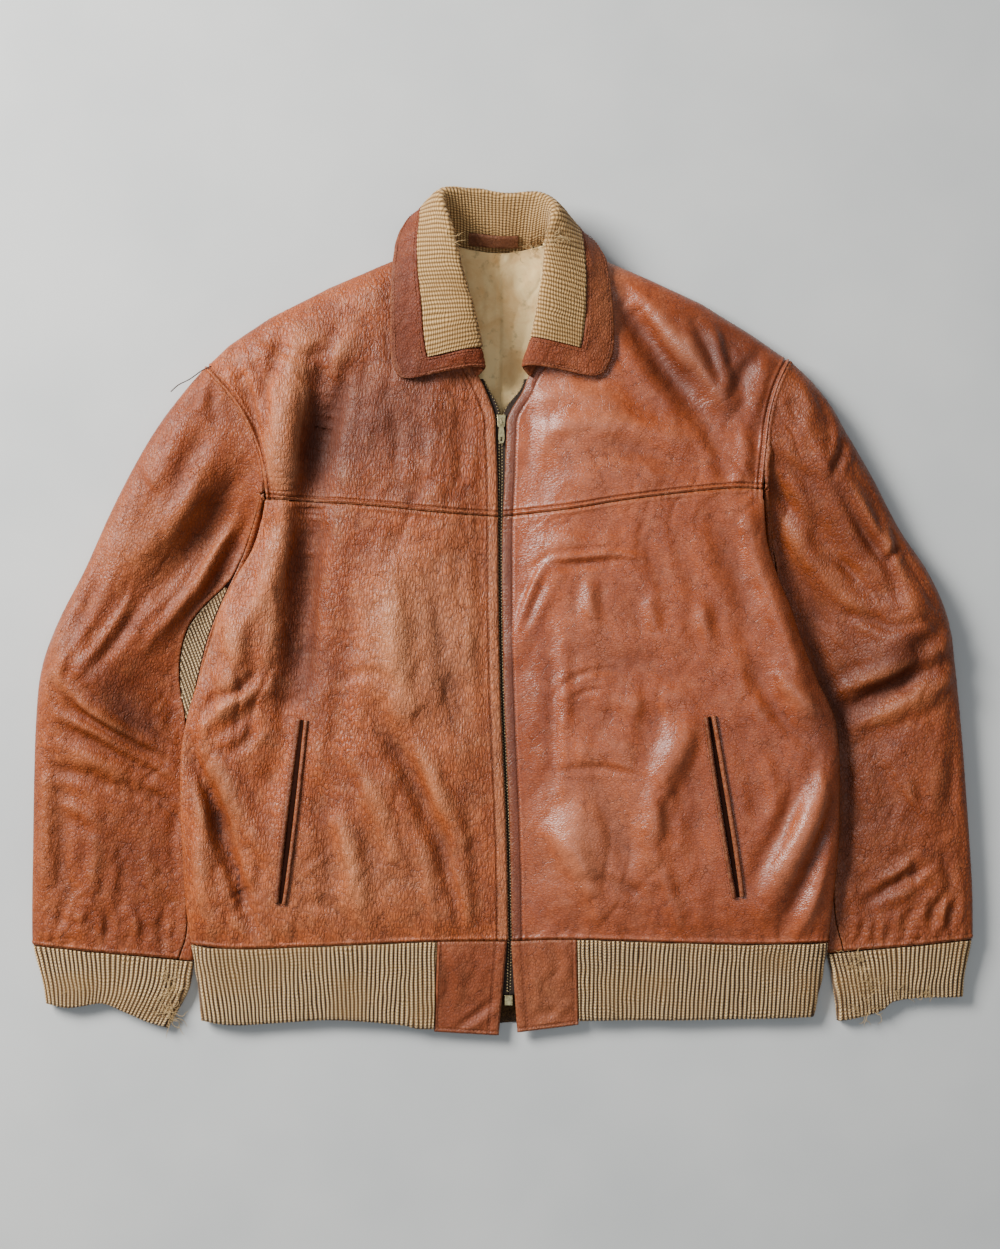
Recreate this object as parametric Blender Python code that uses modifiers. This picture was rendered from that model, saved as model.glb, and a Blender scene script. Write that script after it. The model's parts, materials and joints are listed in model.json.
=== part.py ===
"""A worn leather blouson with knitted collar, cuffs and waistband, laid flat on its back.

X runs from the wearer's right to the wearer's left, Y from the hem to the neck, and Z up from the surface it
lies on. The tables are in millimetres. Each cut piece is an open surface, the side of the cloth that faces
inwards, and Solidify gives it its wall outwards. Right and left are the wearer's, so the right-hand pieces
have negative X.
"""

import math
from collections import namedtuple

import bmesh
import bpy
import numpy as np
from mathutils import Vector
from mathutils.bvhtree import BVHTree

MM = 0.001

# Wall thicknesses, and the gap between two pieces that are sewn together.
LEATHER = 1.8
KNIT = 2.4
TAB = 2.6
LINING = 1.0
TAPE = 0.9
SEAM_GAP = 0.3

# How the cloth turns at its folded edges: how far in it lies flat, and the height of the shoulder fold.
SIDE_TURN_IN = 30.0
SHOULDER_TURN_Z = 12.0
SHOULDER_TURN_IN = 24.0
UNDERARM = 96.0
CENTRE_VALLEY = 62.0
SEAM_FLAT = 22.0

Section = namedtuple("Section", "y right left")
Loft = namedtuple("Loft", "y side panel centre fold")
Fold = namedtuple("Fold", "start middle end half_width height")
SleeveSection = namedtuple("SleeveSection", "outer inner crown inner_height")
CollarSection = namedtuple("CollarSection", "neck roll edge")
Seam = namedtuple("Seam", "down top under")
Band = namedtuple("Band", "right left front fold")
Tab = namedtuple("Tab", "start end low_start low_end")
Pocket = namedtuple("Pocket", "top bottom")

# The folded side edges of the body, from the waist seam to the underarm.
SIDES = [
    Section(-279, -263.5, 275.0),
    Section(-245, -267.5, 279.0),
    Section(-200, -270.0, 283.0),
    Section(-158, -271.5, 284.2),
    Section(-116, -270.5, 283.4),
    Section(-86, -265.0, 279.0),
    Section(-56, -256.0, 265.0),
    Section(-22, -245.5, 251.5),
    Section(5, -237.5, 242.5),
    Section(32, -223.5, 231.0),
    Section(62, -206.5, 222.0),
    Section(96, -199.0, 219.5),
    Section(106, -199.0, 219.5),
]

# The two front edges, either side of the zip, from the waist seam to the collar.
FRONT_EDGES = [
    Section(-278, 5.0, 8.0),
    Section(-186, 3.2, 6.2),
    Section(-75, -1.4, 1.6),
    Section(0, -3.2, 0.0),
    Section(63, -3.6, -0.2),
    Section(96, -3.9, 0.9),
    Section(118, -4.3, 2.0),
    Section(140, -5.5, 2.9),
    Section(158, -5.8, 3.6),
    Section(168, -6.6, 5.2),
    Section(178, -10.0, 10.5),
    Section(189, -14.5, 18.0),
    Section(199, -19.6, 21.7),
]

# Height of the front above the ground: at the sides, over the panels, beside the zip and at the side folds.
LOFTS = [
    Loft(-279, 16, 17, 14, 11),
    Loft(-240, 22, 23, 15, 14),
    Loft(-140, 24, 26, 16, 18),
    Loft(0, 25, 27, 17, 18),
    Loft(60, 26, 28, 17.5, 20.5),
    Loft(96, 27, 29, 18, 24.5),
    Loft(170, 28, 28, 19, 24.5),
    Loft(230, 27, 27, 21, 24.5),
    Loft(320, 24, 24, 22, 24.5),
]

# The largest folds of the front. A positive height is a ridge and a negative one a trough.
FRONT_FOLDS = [
    Fold((-196, 215), (-186, 150), (-183, 92), 17, 8),
    Fold((-150, 190), (-166, 90), (-178, -40), 20, -9),
    Fold((-178, -40), (-186, -110), (-204, -165), 17, -7),
    Fold((-224, 12), (-224, -30), (-232, -66), 19, 6),
    Fold((-268, -108), (-243, -165), (-214, -262), 15, -8),
    Fold((-104, 60), (-98, -40), (-112, -150), 34, 4),
    Fold((-104, -84), (-72, -150), (-46, -232), 13, -5),
    Fold((108, 262), (140, 205), (172, 168), 12, -5),
    Fold((150, 255), (176, 215), (190, 180), 11, 5),
    Fold((40, 148), (90, 140), (150, 118), 34, 4),
    Fold((42, 34), (24, 0), (12, -34), 9, 4),
    Fold((156, -96), (130, -140), (124, -205), 14, 5),
    Fold((276, -128), (252, -190), (222, -248), 13, 5),
    Fold((232, 20), (240, -30), (258, -80), 14, 4),
]

YOKE_SEAM_RIGHT = [(-199, 96.5), (-172, 95), (-104, 90), (-53, 85), (-3.8, 82)]
YOKE_SEAM_LEFT = [(219.5, 105), (193, 105.5), (151, 101.5), (100, 95), (57, 88), (0.6, 82)]
ARMHOLE_RIGHT = [(-199, 96.5), (-204, 129), (-215.5, 160), (-233, 186), (-252, 206)]
ARMHOLE_LEFT = [(219.5, 105), (222.5, 135), (226, 165), (233, 191), (243, 212.5)]
SHOULDER_RIGHT = [(-252, 206), (-231, 226.5), (-197, 249), (-146, 275), (-95, 297), (-60, 312)]
SHOULDER_LEFT = [(243, 212.5), (210, 235.5), (168, 261.5), (125, 281.5), (89, 297), (49, 314)]
FRONT_NECK_RIGHT = [(-19.6, 199), (-37, 226), (-50, 258), (-58, 290), (-60, 312)]
FRONT_NECK_LEFT = [(21.7, 199), (38, 228), (47, 258), (50, 290), (49, 314)]
BACK_NECK = [(-60, 312), (-30, 306), (-2, 303), (24, 306), (49, 314)]
WAIST_SEAM = [
    (-263.5, -281), (-223, -284), (-147, -281.5), (-55, -277.5),
    (6, -277.5), (63, -275.8), (190, -280), (275, -279),
]

# Across the sleeve from its outer fold to its inner one, from the armhole seam down to the cuff.
SLEEVE_RIGHT = [
    SleeveSection((-252, 206), (-199, 96.5), 29, 25),
    SleeveSection((-275, 180), (-210.5, 66), 31, 9),
    SleeveSection((-300, 144), (-222, 38), 30, 6),
    SleeveSection((-328, 92), (-237, 6), 27, 5.4),
    SleeveSection((-353, 37), (-248, -24), 25, 5.4),
    SleeveSection((-374.5, -5), (-257, -62), 27, 5.4),
    SleeveSection((-389.5, -46), (-263, -94), 28, 5.4),
    SleeveSection((-394.7, -90), (-266, -120), 24, 5.4),
    SleeveSection((-396.5, -141), (-267.5, -156), 20, 5.4),
    SleeveSection((-397.5, -201), (-266, -214), 18, 5.4),
    SleeveSection((-398.2, -247), (-264, -264), 17, 5.4),
    SleeveSection((-398.2, -281.5), (-264.5, -296), 15, 6),
]
SLEEVE_LEFT = [
    SleeveSection((243, 212.5), (219.5, 105), 29, 25),
    SleeveSection((270, 187), (225.5, 70), 31, 9),
    SleeveSection((292, 150), (229.5, 44), 30, 6),
    SleeveSection((313, 114), (236, 21), 27, 5.4),
    SleeveSection((336, 70), (247, -8), 26, 5.4),
    SleeveSection((360, 34), (260, -43), 27, 5.4),
    SleeveSection((377, -6), (271, -70), 29, 5.4),
    SleeveSection((384, -56), (279, -96), 25, 5.4),
    SleeveSection((389, -107), (281, -129), 21, 5.4),
    SleeveSection((394, -175), (280.5, -188), 19, 5.4),
    SleeveSection((397.5, -231), (277.5, -243), 17, 5.4),
    SleeveSection((398.2, -276.5), (277.5, -289.5), 15, 6),
]
# Folds of the sleeves, as (share of the way in from the outer fold, share of the way down).
SLEEVE_FOLDS_RIGHT = [
    Fold((0.85, 0.10), (0.62, 0.24), (0.35, 0.36), 0.07, -5),
    Fold((0.62, 0.06), (0.45, 0.18), (0.22, 0.30), 0.07, 4),
    Fold((0.92, 0.20), (0.72, 0.33), (0.42, 0.45), 0.07, 5),
    Fold((0.05, 0.50), (0.42, 0.53), (0.86, 0.60), 0.06, 9),
    Fold((0.30, 0.45), (0.62, 0.50), (0.90, 0.545), 0.06, -6),
]
SLEEVE_FOLDS_LEFT = [
    Fold((0.75, 0.10), (0.55, 0.26), (0.38, 0.42), 0.06, -5),
    Fold((0.30, 0.08), (0.28, 0.20), (0.20, 0.34), 0.07, 4),
    Fold((0.55, 0.08), (0.70, 0.26), (0.74, 0.42), 0.09, 5),
    Fold((0.04, 0.47), (0.35, 0.53), (0.80, 0.60), 0.055, 7),
    Fold((0.10, 0.54), (0.42, 0.60), (0.70, 0.66), 0.07, -4),
]
SLEEVE_TURN_Z = 11.0
SLEEVE_TURN_IN = 22.0
SLEEVE_INNER_TURN_IN = 4.0
SLEEVE_SLOPE_FROM = 0.30
# How far the sleeve stands off the armhole seam, along it and at the underarm.
ARMHOLE_STEP = 0.9
UNDERARM_STEP = 3.4
# Where the top sleeve ends and the under sleeve starts, as shares of the way in, with the gusset between.
SLEEVE_SEAM_RIGHT = [
    Seam(0.00, 0.965, 0.965),
    Seam(0.19, 0.965, 0.965),
    Seam(0.24, 0.940, 0.965),
    Seam(0.29, 0.880, 0.965),
    Seam(0.36, 0.812, 0.965),
    Seam(0.42, 0.818, 0.965),
    Seam(0.48, 0.872, 0.965),
    Seam(0.54, 0.940, 0.965),
    Seam(0.62, 0.965, 0.965),
    Seam(0.90, 0.965, 0.965),
    Seam(1.00, 0.915, 0.915),
]
SLEEVE_SEAM_LEFT = [
    Seam(0.00, 0.965, 0.965),
    Seam(0.19, 0.965, 0.965),
    Seam(0.24, 0.985, 1.010),
    Seam(0.39, 1.010, 1.085),
    Seam(0.54, 0.985, 1.010),
    Seam(0.62, 0.965, 0.965),
    Seam(0.90, 0.960, 0.960),
    Seam(1.00, 0.890, 0.890),
]
SLEEVE_ROWS = (
    0, 0.02, 0.05, 0.09, 0.14, 0.19, 0.24, 0.29, 0.34, 0.39, 0.44, 0.49, 0.54, 0.62, 0.71, 0.81, 0.91, 1,
)
GUSSET_ROWS = SLEEVE_ROWS[6:13]
SLEEVE_SEAM_GAP = 0.0036
GUSSET_GAP = 0.0045

# Each cuff carries on from the end of its sleeve. Its worn edge rises and falls along the way in.
CUFF_RIGHT = [
    SleeveSection((-397.6, -282.2), (-265.1, -296.8), 13, 8),
    SleeveSection((-394, -297), (-269, -317), 12, 8),
    SleeveSection((-389, -315), (-277, -333), 11, 8),
    SleeveSection((-386.5, -332), (-287, -349), 9, 7),
]
CUFF_LEFT = [
    SleeveSection((397.6, -277.4), (278.2, -290.4), 13, 8),
    SleeveSection((394, -295), (283, -308), 12, 8),
    SleeveSection((391, -310), (286, -326), 11, 8),
    SleeveSection((390, -325), (288, -345), 9, 7),
]
CUFF_EDGE_RIGHT = [(0, 0), (0.19, 0), (0.45, 8), (0.62, 5), (0.83, -1), (1, -3)]
CUFF_EDGE_LEFT = [(0, -1), (0.34, 5), (0.56, 6), (0.66, 0), (0.85, -2), (1, -2)]
CUFF_TURN_IN = 7.0
CUFF_FOLD_Z = 7.0

# The waistband rib: its side folds, its height in front and that of its folds, from the waist seam down.
BAND = [
    Band(-263.5, 275.0, 16.5, 11),
    Band(-259.5, 271.5, 14, 9),
    Band(-256.5, 267.5, 12, 8),
    Band(-254.5, 263.0, 9.5, 7),
]
BAND_TURN_IN = 14.0
BAND_END_RIGHT = -58.6
BAND_END_LEFT = 65.6
BAND_EDGE = [
    (-258, -346), (-223, -349.8), (-147, -345.5), (-87, -349.8), (-57, -353),
    (65, -346.4), (168, -345.5), (266, -343),
]

# The collar, from the wearer's right front end round the back of the neck to the left front end.
COLLAR = [
    CollarSection((-21, 200, 26.5), (-16, 206, 34), (-86, 194.5, 33)),
    CollarSection((-36, 226, 29), (-20, 230, 42), (-93.5, 216, 32)),
    CollarSection((-49, 256, 30), (-27, 260, 47), (-94.0, 256, 33)),
    CollarSection((-57, 286, 29.5), (-36, 291, 50), (-92.5, 292, 31)),
    CollarSection((-59, 307, 22), (-43, 319, 49), (-86.0, 323, 22)),
    CollarSection((-47, 314, 13), (-50, 350, 40), (-69.0, 339, 9)),
    CollarSection((-26, 309, 7), (-27, 355, 31), (-31, 321, 3.5)),
    CollarSection((-2, 306.5, 7), (1, 351, 28), (1, 315, 3.5)),
    CollarSection((22, 309, 7), (29, 351, 33), (33, 319, 3.5)),
    CollarSection((40, 316, 14), (43, 337, 44), (66, 322, 10)),
    CollarSection((49, 305, 23), (37, 311, 50), (86, 301, 24)),
    CollarSection((48, 276, 29.5), (35, 281, 49), (91.5, 264, 32)),
    CollarSection((39, 238, 29), (28, 241, 43), (93.5, 225, 32)),
    CollarSection((23, 200, 26.5), (18, 207, 34), (84, 196.5, 33)),
]
COLLAR_STAND_SHARE = 0.36
COLLAR_STOPS = (0, 0.17, COLLAR_STAND_SHARE, 0.48, 0.73, 1)
COLLAR_BACK_HALF = 0.08
COLLAR_TIP_X = 16
COLLAR_BORDER_SHARE = 0.76
COLLAR_BORDER_ENDS = 0.055
# The collar's tips are rounded: how far the rounding reaches along the collar and up from its edge.
COLLAR_TIP_ALONG, COLLAR_TIP_UP = 0.024, 0.14
COLLAR_CLEAR = 2.6

# The tabs at the front of the waist: where they start and end along the waist seam, and their lower corners.
TAB_RIGHT = Tab(-55.0, 2.4, (-58.2, -355.0), (-3.2, -358.2))
TAB_LEFT = Tab(8.6, 62.8, (12.6, -355.8), (64.8, -349.0))
TAB_LOW_Z = 8.5
WAIST_Y = -279.0
WAIST_GAP = 0.8

# Pocket mouths: the top and bottom ends of the slit, which lies between two welts on a facing.
POCKETS = {"right": Pocket((-168.5, -90), (-187.5, -245)), "left": Pocket((174.5, -87), (199.0, -239.5))}
SLIT_HALF = 1.3
WELT_WIDTH = 3.7
WELT = 1.4
FACING = 0.5
PANEL_GAP = 0.6

# The zip: its tapes run under the front edges and part above the slider.
ZIP_TOP, ZIP_PARTS_AT, ZIP_OPEN_OVER, ZIP_BOTTOM = 198.5, 152.0, 40.0, -324.5
TAPE_UNDER_EDGE = 8.0
TAPE_SHOWS = 3.0
TAPE_SLOT = 0.25
TAPE_DROP = 1.6
SLIDER_AT = (-0.9, 162.0)
SLIDER_LENGTH, SLIDER_TOP_WIDTH, SLIDER_LOW_WIDTH = 10.5, 7.6, 6.2
SLIDER_PLATE, SLIDER_MOUTH = 1.0, 1.4
SLIDER_POST = (1.0, 2.0)
BAIL_LENGTH, BAIL_WIDTH, BAIL_THICK, BAIL_CLEAR = 4.6, 1.3, 0.9, 1.7
PLATE_AHEAD, PLATE_ROUND, BAIL_ROUND = 1.0, 0.35, 0.3
BRASS_ROOT = 0.4
PULL_HALF_OUTLINE = [
    (0.9, 0.45), (1.7, -0.3), (1.75, -2.4), (2.0, -4.6), (2.45, -8.5),
    (2.7, -12.5), (2.7, -14.5), (2.1, -16.9), (1.1, -18.4),
]
PULL_THICK, PULL_PIN, PULL_ROUND = 0.9, 0.45, 0.12
PULL_EYE = (2.3, 3.2)
PULL_HOLE = (1.5, 3.6)
PULL_HOLE_DOWN, PULL_HOLE_ROUND = 14.6, 0.5
BOX_SIZE, BOX_ROUND = (7.2, 9.0, 3.6), 0.6

# The lining seen in the neck, and the hanger loop on the collar's stand, in shares of the collar.
LINING_FOOT = [(-70, 120), (66, 120)]
LINING_LIFT = 1.5
LINING_RISE = 1.6
LINING_RISE_FROM, LINING_RISE_OVER = 270, 30
LINING_NECK_SHARE = 0.955
LINING_NECK_IN = 0.9
LOOP_FROM, LOOP_TO = 0.452, 0.582
LOOP_LOW, LOOP_HIGH = 0.035, 0.100
LOOP_ARCH = 3.5

COLOURS = {
    "leather": (0.36, 0.13, 0.055),
    "knit": (0.42, 0.29, 0.16),
    "lining": (0.50, 0.35, 0.17),
    "tape": (0.02, 0.016, 0.013),
    "brass": (0.42, 0.36, 0.20),
}


def smooth_curve(points, samples=40):
    """A curve through the points, as a function of its even share of the way along."""
    knots = np.array(points, float)
    ends = np.vstack([2 * knots[0] - knots[1], knots, 2 * knots[-1] - knots[-2]])
    t = np.linspace(0, 1, samples, endpoint=False)[:, None]
    pieces = [
        b + 0.5 * ((c - a) * t + (2 * a - 5 * b + 4 * c - d) * t**2 + (3 * b - a - 3 * c + d) * t**3)
        for a, b, c, d in zip(ends, ends[1:], ends[2:], ends[3:])
    ]
    line = np.vstack([*pieces, knots[-1:]])
    steps = np.linalg.norm(np.diff(line, axis=0), axis=1)
    along = np.concatenate([[0], np.cumsum(steps)]) / steps.sum()
    return lambda share: np.stack([np.interp(share, along, column) for column in line.T], axis=-1)


def by_row(rows, samples=24):
    """The rows' numbers, smoothed from row to row, as a function of the share of the rows passed."""
    knots = np.array(rows, float)
    ends = np.vstack([2 * knots[0] - knots[1], knots, 2 * knots[-1] - knots[-2]])
    t = np.linspace(0, 1, samples, endpoint=False)[:, None]
    pieces = [
        b + 0.5 * ((c - a) * t + (2 * a - 5 * b + 4 * c - d) * t**2 + (3 * b - a - 3 * c + d) * t**3)
        for a, b, c, d in zip(ends, ends[1:], ends[2:], ends[3:])
    ]
    line = np.vstack([*pieces, knots[-1:]])
    share = np.linspace(0, 1, len(line))
    return lambda at: np.stack([np.interp(at, share, column) for column in line.T], axis=-1)


def profile(places, values):
    """A smooth number along the garment, from its values at a few places in rising order."""
    line = smooth_curve(list(zip(places, values)))(np.linspace(0, 1, 400))
    return lambda place: np.interp(place, line[:, 0], line[:, 1])


def ramp(value):
    """0 below 0, 1 above 1, and a smooth rise between."""
    value = np.clip(value, 0, 1)
    return value * value * (3 - 2 * value)


def turn(inward, reach):
    """How far the cloth has turned from a folded edge to lying flat, as a quarter of an ellipse."""
    share = np.clip(inward / reach, 0, 1)
    return np.sqrt(share * (2 - share))


def fold_height(x, y, folds):
    """The ridges and troughs of the cloth, each fading out at its ends."""
    total = np.zeros(np.shape(x))
    for fold in folds:
        line = smooth_curve([fold.start, fold.middle, fold.end])(np.linspace(0, 1, 25))
        away = np.hypot(x[..., None] - line[:, 0], y[..., None] - line[:, 1])
        nearest = away.argmin(axis=-1)
        share = nearest / (len(line) - 1)
        fade = np.sin(np.pi * (0.12 + 0.76 * share)) ** 0.8
        total = total + fold.height * fade * np.exp(-((away.min(axis=-1) / fold.half_width) ** 2))
    return total


right_side = profile([row.y for row in SIDES], [row.right for row in SIDES])
left_side = profile([row.y for row in SIDES], [row.left for row in SIDES])
right_front_edge = profile([row.y for row in FRONT_EDGES], [row.right for row in FRONT_EDGES])
left_front_edge = profile([row.y for row in FRONT_EDGES], [row.left for row in FRONT_EDGES])
side_loft = profile([row.y for row in LOFTS], [row.side for row in LOFTS])
panel_loft = profile([row.y for row in LOFTS], [row.panel for row in LOFTS])
centre_loft = profile([row.y for row in LOFTS], [row.centre for row in LOFTS])
side_fold = profile([row.y for row in LOFTS], [row.fold for row in LOFTS])


def below_shoulder(x, y):
    """How far a point lies in from the shoulder folds, square to them."""
    points = SHOULDER_RIGHT + SHOULDER_LEFT[::-1]
    line = np.array(points, float)
    fall = 0.87
    return (np.interp(x, line[:, 0], line[:, 1]) - y) * fall


def in_from_side(x, y):
    """How far a point lies in from the side fold, or above it from the underarm."""
    inward = np.where(x < 0, x - right_side(y), left_side(y) - x)
    return np.where(y <= UNDERARM, inward, np.hypot(inward, y - UNDERARM))


def in_from_armhole(x, y):
    """How far a point lies from the nearer armhole seam."""
    away = np.full(np.shape(x), 1e6)
    for seam in (ARMHOLE_RIGHT, ARMHOLE_LEFT):
        for px, py in smooth_curve(seam)(np.linspace(0, 1, 30)):
            away = np.minimum(away, np.hypot(x - px, y - py))
    return away


def body_top(x, y):
    """Height of the inside of the front above the ground."""
    x, y = np.asarray(x, float), np.asarray(y, float)
    middle = (right_front_edge(y) + left_front_edge(y)) / 2
    out = ramp(np.abs(x - middle) / CENTRE_VALLEY)
    side = ramp((np.abs(x - middle) - CENTRE_VALLEY) / 150)
    loft = centre_loft(y) + (panel_loft(y) - centre_loft(y)) * out + (side_loft(y) - panel_loft(y)) * side
    clear = ramp(in_from_armhole(x, y) / SEAM_FLAT) * ramp((y - WAIST_Y) / SEAM_FLAT)
    loft = loft + fold_height(x, y, FRONT_FOLDS) * clear
    edge = side_fold(y) + (SHOULDER_TURN_Z - side_fold(y)) * ramp((y - UNDERARM) / 100) + SEAM_GAP / 2
    fullness = turn(in_from_side(x, y), SIDE_TURN_IN) * turn(below_shoulder(x, y), SHOULDER_TURN_IN)
    return edge + (loft - edge) * fullness


def body_under(x, y):
    """Height of the inside of the back above the ground."""
    x, y = np.asarray(x, float), np.asarray(y, float)
    edge = side_fold(y) + (SHOULDER_TURN_Z - side_fold(y)) * ramp((y - UNDERARM) / 100) - SEAM_GAP / 2
    flat = turn(in_from_side(x, y), SIDE_TURN_IN) * turn(below_shoulder(x, y), SHOULDER_TURN_IN)
    return edge + (LEATHER - edge) * flat


def four_sided(bottom, top, start, end):
    """The plan of a piece between four edge curves, as a function of u along the bottom and v up the start."""
    corners = bottom(0.0), bottom(1.0), top(0.0), top(1.0)

    def place(u, v):
        across, up = u[..., None], v[..., None]
        sides = (1 - up) * bottom(u) + up * top(u) + (1 - across) * start(v) + across * end(v)
        straight = (1 - up) * ((1 - across) * corners[0] + across * corners[1])
        straight = straight + up * ((1 - across) * corners[2] + across * corners[3])
        return sides - straight

    return place


def part_of(curve, first, last):
    return lambda share: curve(first + (last - first) * np.asarray(share))


def edge_by_y(side, low, high):
    """The edge given by side(y) between two heights, as a curve."""

    def place(share):
        y = low + (high - low) * np.asarray(share, float)
        return np.stack([side(y), y], axis=-1)

    return place


def on_surface(plan, height, shift=(0, 0)):
    """A piece's surface from its plan and a height function."""

    def place(u, v):
        flat = plan(u, v) + np.array(shift)
        return np.concatenate([flat, height(flat[..., 0], flat[..., 1])[..., None]], axis=-1)

    return place


def share_at_x(curve, x):
    """How far along a curve its x reaches a value."""
    share = np.linspace(0, 1, 2001)
    return float(share[np.abs(curve(share)[:, 0] - x).argmin()])


def make_material(name, colour, roughness, metallic=0.0):
    material = bpy.data.materials.new(name)
    material.use_nodes = True
    shader = material.node_tree.nodes["Principled BSDF"]
    shader.inputs["Base Color"].default_value = (*colour, 1)
    shader.inputs["Roughness"].default_value = roughness
    shader.inputs["Metallic"].default_value = metallic
    material.diffuse_color = (*colour, 1)
    return material


def make_object(name, mesh, material):
    piece = bpy.data.objects.new(name, mesh)
    mesh.materials.append(material)
    bpy.data.collections["leather_blouson"].objects.link(piece)
    return piece


def sew(name, surface, across, along, wall, material, spacing=(None, None), outside=1, keep=None, close=False):
    """One cut piece: a grid laid on surface(u, v) and given its wall on its outside.

    spacing eases the rows towards a folded edge. keep(u, v) drops the cells outside a shape.
    close joins the two ends of u into a tube.
    """
    grid = bmesh.new()
    bmesh.ops.create_grid(grid, x_segments=across, y_segments=along, size=0.5)
    if keep:
        centres = [(cell, cell.calc_center_median()) for cell in grid.faces]
        dropped = [cell for cell, middle in centres if not keep(middle.x + 0.5, middle.y + 0.5)]
        bmesh.ops.delete(grid, geom=dropped, context="FACES")
    shares = np.array([corner.co[:2] for corner in grid.verts]) + 0.5
    eased = [ease(share) if ease else share for ease, share in zip(spacing, shares.T)]
    for corner, place in zip(grid.verts, surface(*eased)):
        corner.co = place * MM
    if close:
        bmesh.ops.remove_doubles(grid, verts=grid.verts, dist=0.01 * MM)
    if outside < 0:
        bmesh.ops.reverse_faces(grid, faces=grid.faces)
    bmesh.ops.triangulate(grid, faces=grid.faces)
    mesh = bpy.data.meshes.new(name)
    grid.to_mesh(mesh)
    grid.free()
    mesh.shade_smooth()
    piece = make_object(name, mesh, material)
    solidify = piece.modifiers.new("wall", "SOLIDIFY")
    solidify.thickness = wall * MM
    solidify.offset = 1
    return piece


def ease_start(share):
    return 1 - np.cos(share * math.pi / 2)


def ease_end(share):
    return np.sin(share * math.pi / 2)


def crowd(*places, tightness=5, reach=0.05):
    """Rows spaced more closely near some shares of the way."""
    share = np.linspace(0, 1, 2001)
    weight = 1 + tightness * sum(np.exp(-(((share - place) / reach) ** 2)) for place in places)
    passed = np.concatenate([[0], np.cumsum(weight[1:] + weight[:-1])])
    return lambda even: np.interp(even, passed / passed[-1], share)


def shares(*stops):
    """Rows at set shares of the way, evenly numbered."""
    return lambda even: np.interp(even, np.linspace(0, 1, len(stops)), stops)


def sleeve_ring(sections, turn_z, turn_in, wall, folds=(), armhole=None, outward=-1):
    """The inside of a flattened tube.

    round_it runs from 0 at the outer fold over the top to 1 at the inner fold, and on underneath to 2 back at the
    outer fold; down runs along the tube. At its top a sleeve takes the shape of the armhole of the body.
    """
    rows = by_row([(*row.outer, *row.inner, row.crown, row.inner_height) for row in sections])

    def place(round_it, down):
        values = rows(down)
        outer, inner, crown, inner_height = values[..., :2], values[..., 2:4], values[..., 4], values[..., 5]
        over = round_it <= 1
        across = np.where(over, round_it, 2 - round_it)
        flat = outer + (inner - outer) * across[..., None]
        width = np.linalg.norm(inner - outer, axis=-1)
        slope = ramp((across - SLEEVE_SLOPE_FROM) / (0.97 - SLEEVE_SLOPE_FROM))
        high = crown + (inner_height - crown) * slope
        if folds:
            high = high + fold_height(across, down, folds) * ramp((1 - across) / 0.2)
        inner_turn = turn((1 - across) * width, SLEEVE_INNER_TURN_IN)
        fold_at = turn_z + ((inner_height + wall) / 2 - turn_z) * ramp((across - 0.4) / 0.4)
        fold_at = fold_at + np.where(over, SEAM_GAP / 2, -SEAM_GAP / 2)
        height = fold_at + (np.where(over, high, wall) - fold_at) * turn(across * width, turn_in) * inner_turn
        if armhole is not None:
            seam = armhole(1 - across)
            joined = 1 - ramp(down / 0.13)
            step = outward * (ARMHOLE_STEP + (UNDERARM_STEP - ARMHOLE_STEP) * ramp((across - 0.8) / 0.2))
            shifted = seam + np.stack([step, 0 * step], axis=-1)
            flat = flat + (shifted - flat) * joined[..., None]
            top, under = body_top(seam[..., 0], seam[..., 1]), body_under(seam[..., 0], seam[..., 1])
            height = height + (np.where(over, top, under) - height) * (1 - ramp(down / 0.15))
        return np.concatenate([flat, height[..., None]], axis=-1)

    return place


def stretch(place, low, high, first=0.0, last=1.0):
    """The part of a surface from low to high in u, which may change with v, and from first to last in v."""

    def part(u, v):
        down = first + (last - first) * v
        start, end = (edge(down) if callable(edge) else edge for edge in (low, high))
        return place(start + (end - start) * u, down)

    return part


def thread(stops, shares_at, s):
    """A smooth line through the stops, which it passes at the given shares of the way."""
    at = np.array(shares_at)
    knots = np.array([2 * stops[0] - stops[1], *stops, 2 * stops[-1] - stops[-2]])
    step = np.clip(np.searchsorted(at, s, side="right") - 1, 0, len(at) - 2)
    share = ((s - at[step]) / (at[step + 1] - at[step]))[..., None]
    a, b, c, d = (np.take_along_axis(knots, (step + k)[None, ..., None], axis=0)[0] for k in range(4))
    square, cube = 2 * a - 5 * b + 4 * c - d, 3 * b - a - 3 * c + d
    return b + 0.5 * ((c - a) * share + square * share**2 + cube * share**3)


def round_tips(t, s):
    """The share of the way to the collar's edge, which draws in to an arc at the two tips."""
    near = np.clip(1 - np.minimum(t, 1 - t) / COLLAR_TIP_ALONG, 0, 1)
    reach = 1 - COLLAR_TIP_UP * (1 - np.sqrt(1 - near**2)) / (1 - COLLAR_BORDER_SHARE)
    return np.where(s > COLLAR_BORDER_SHARE, COLLAR_BORDER_SHARE + (s - COLLAR_BORDER_SHARE) * reach, s)


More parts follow.
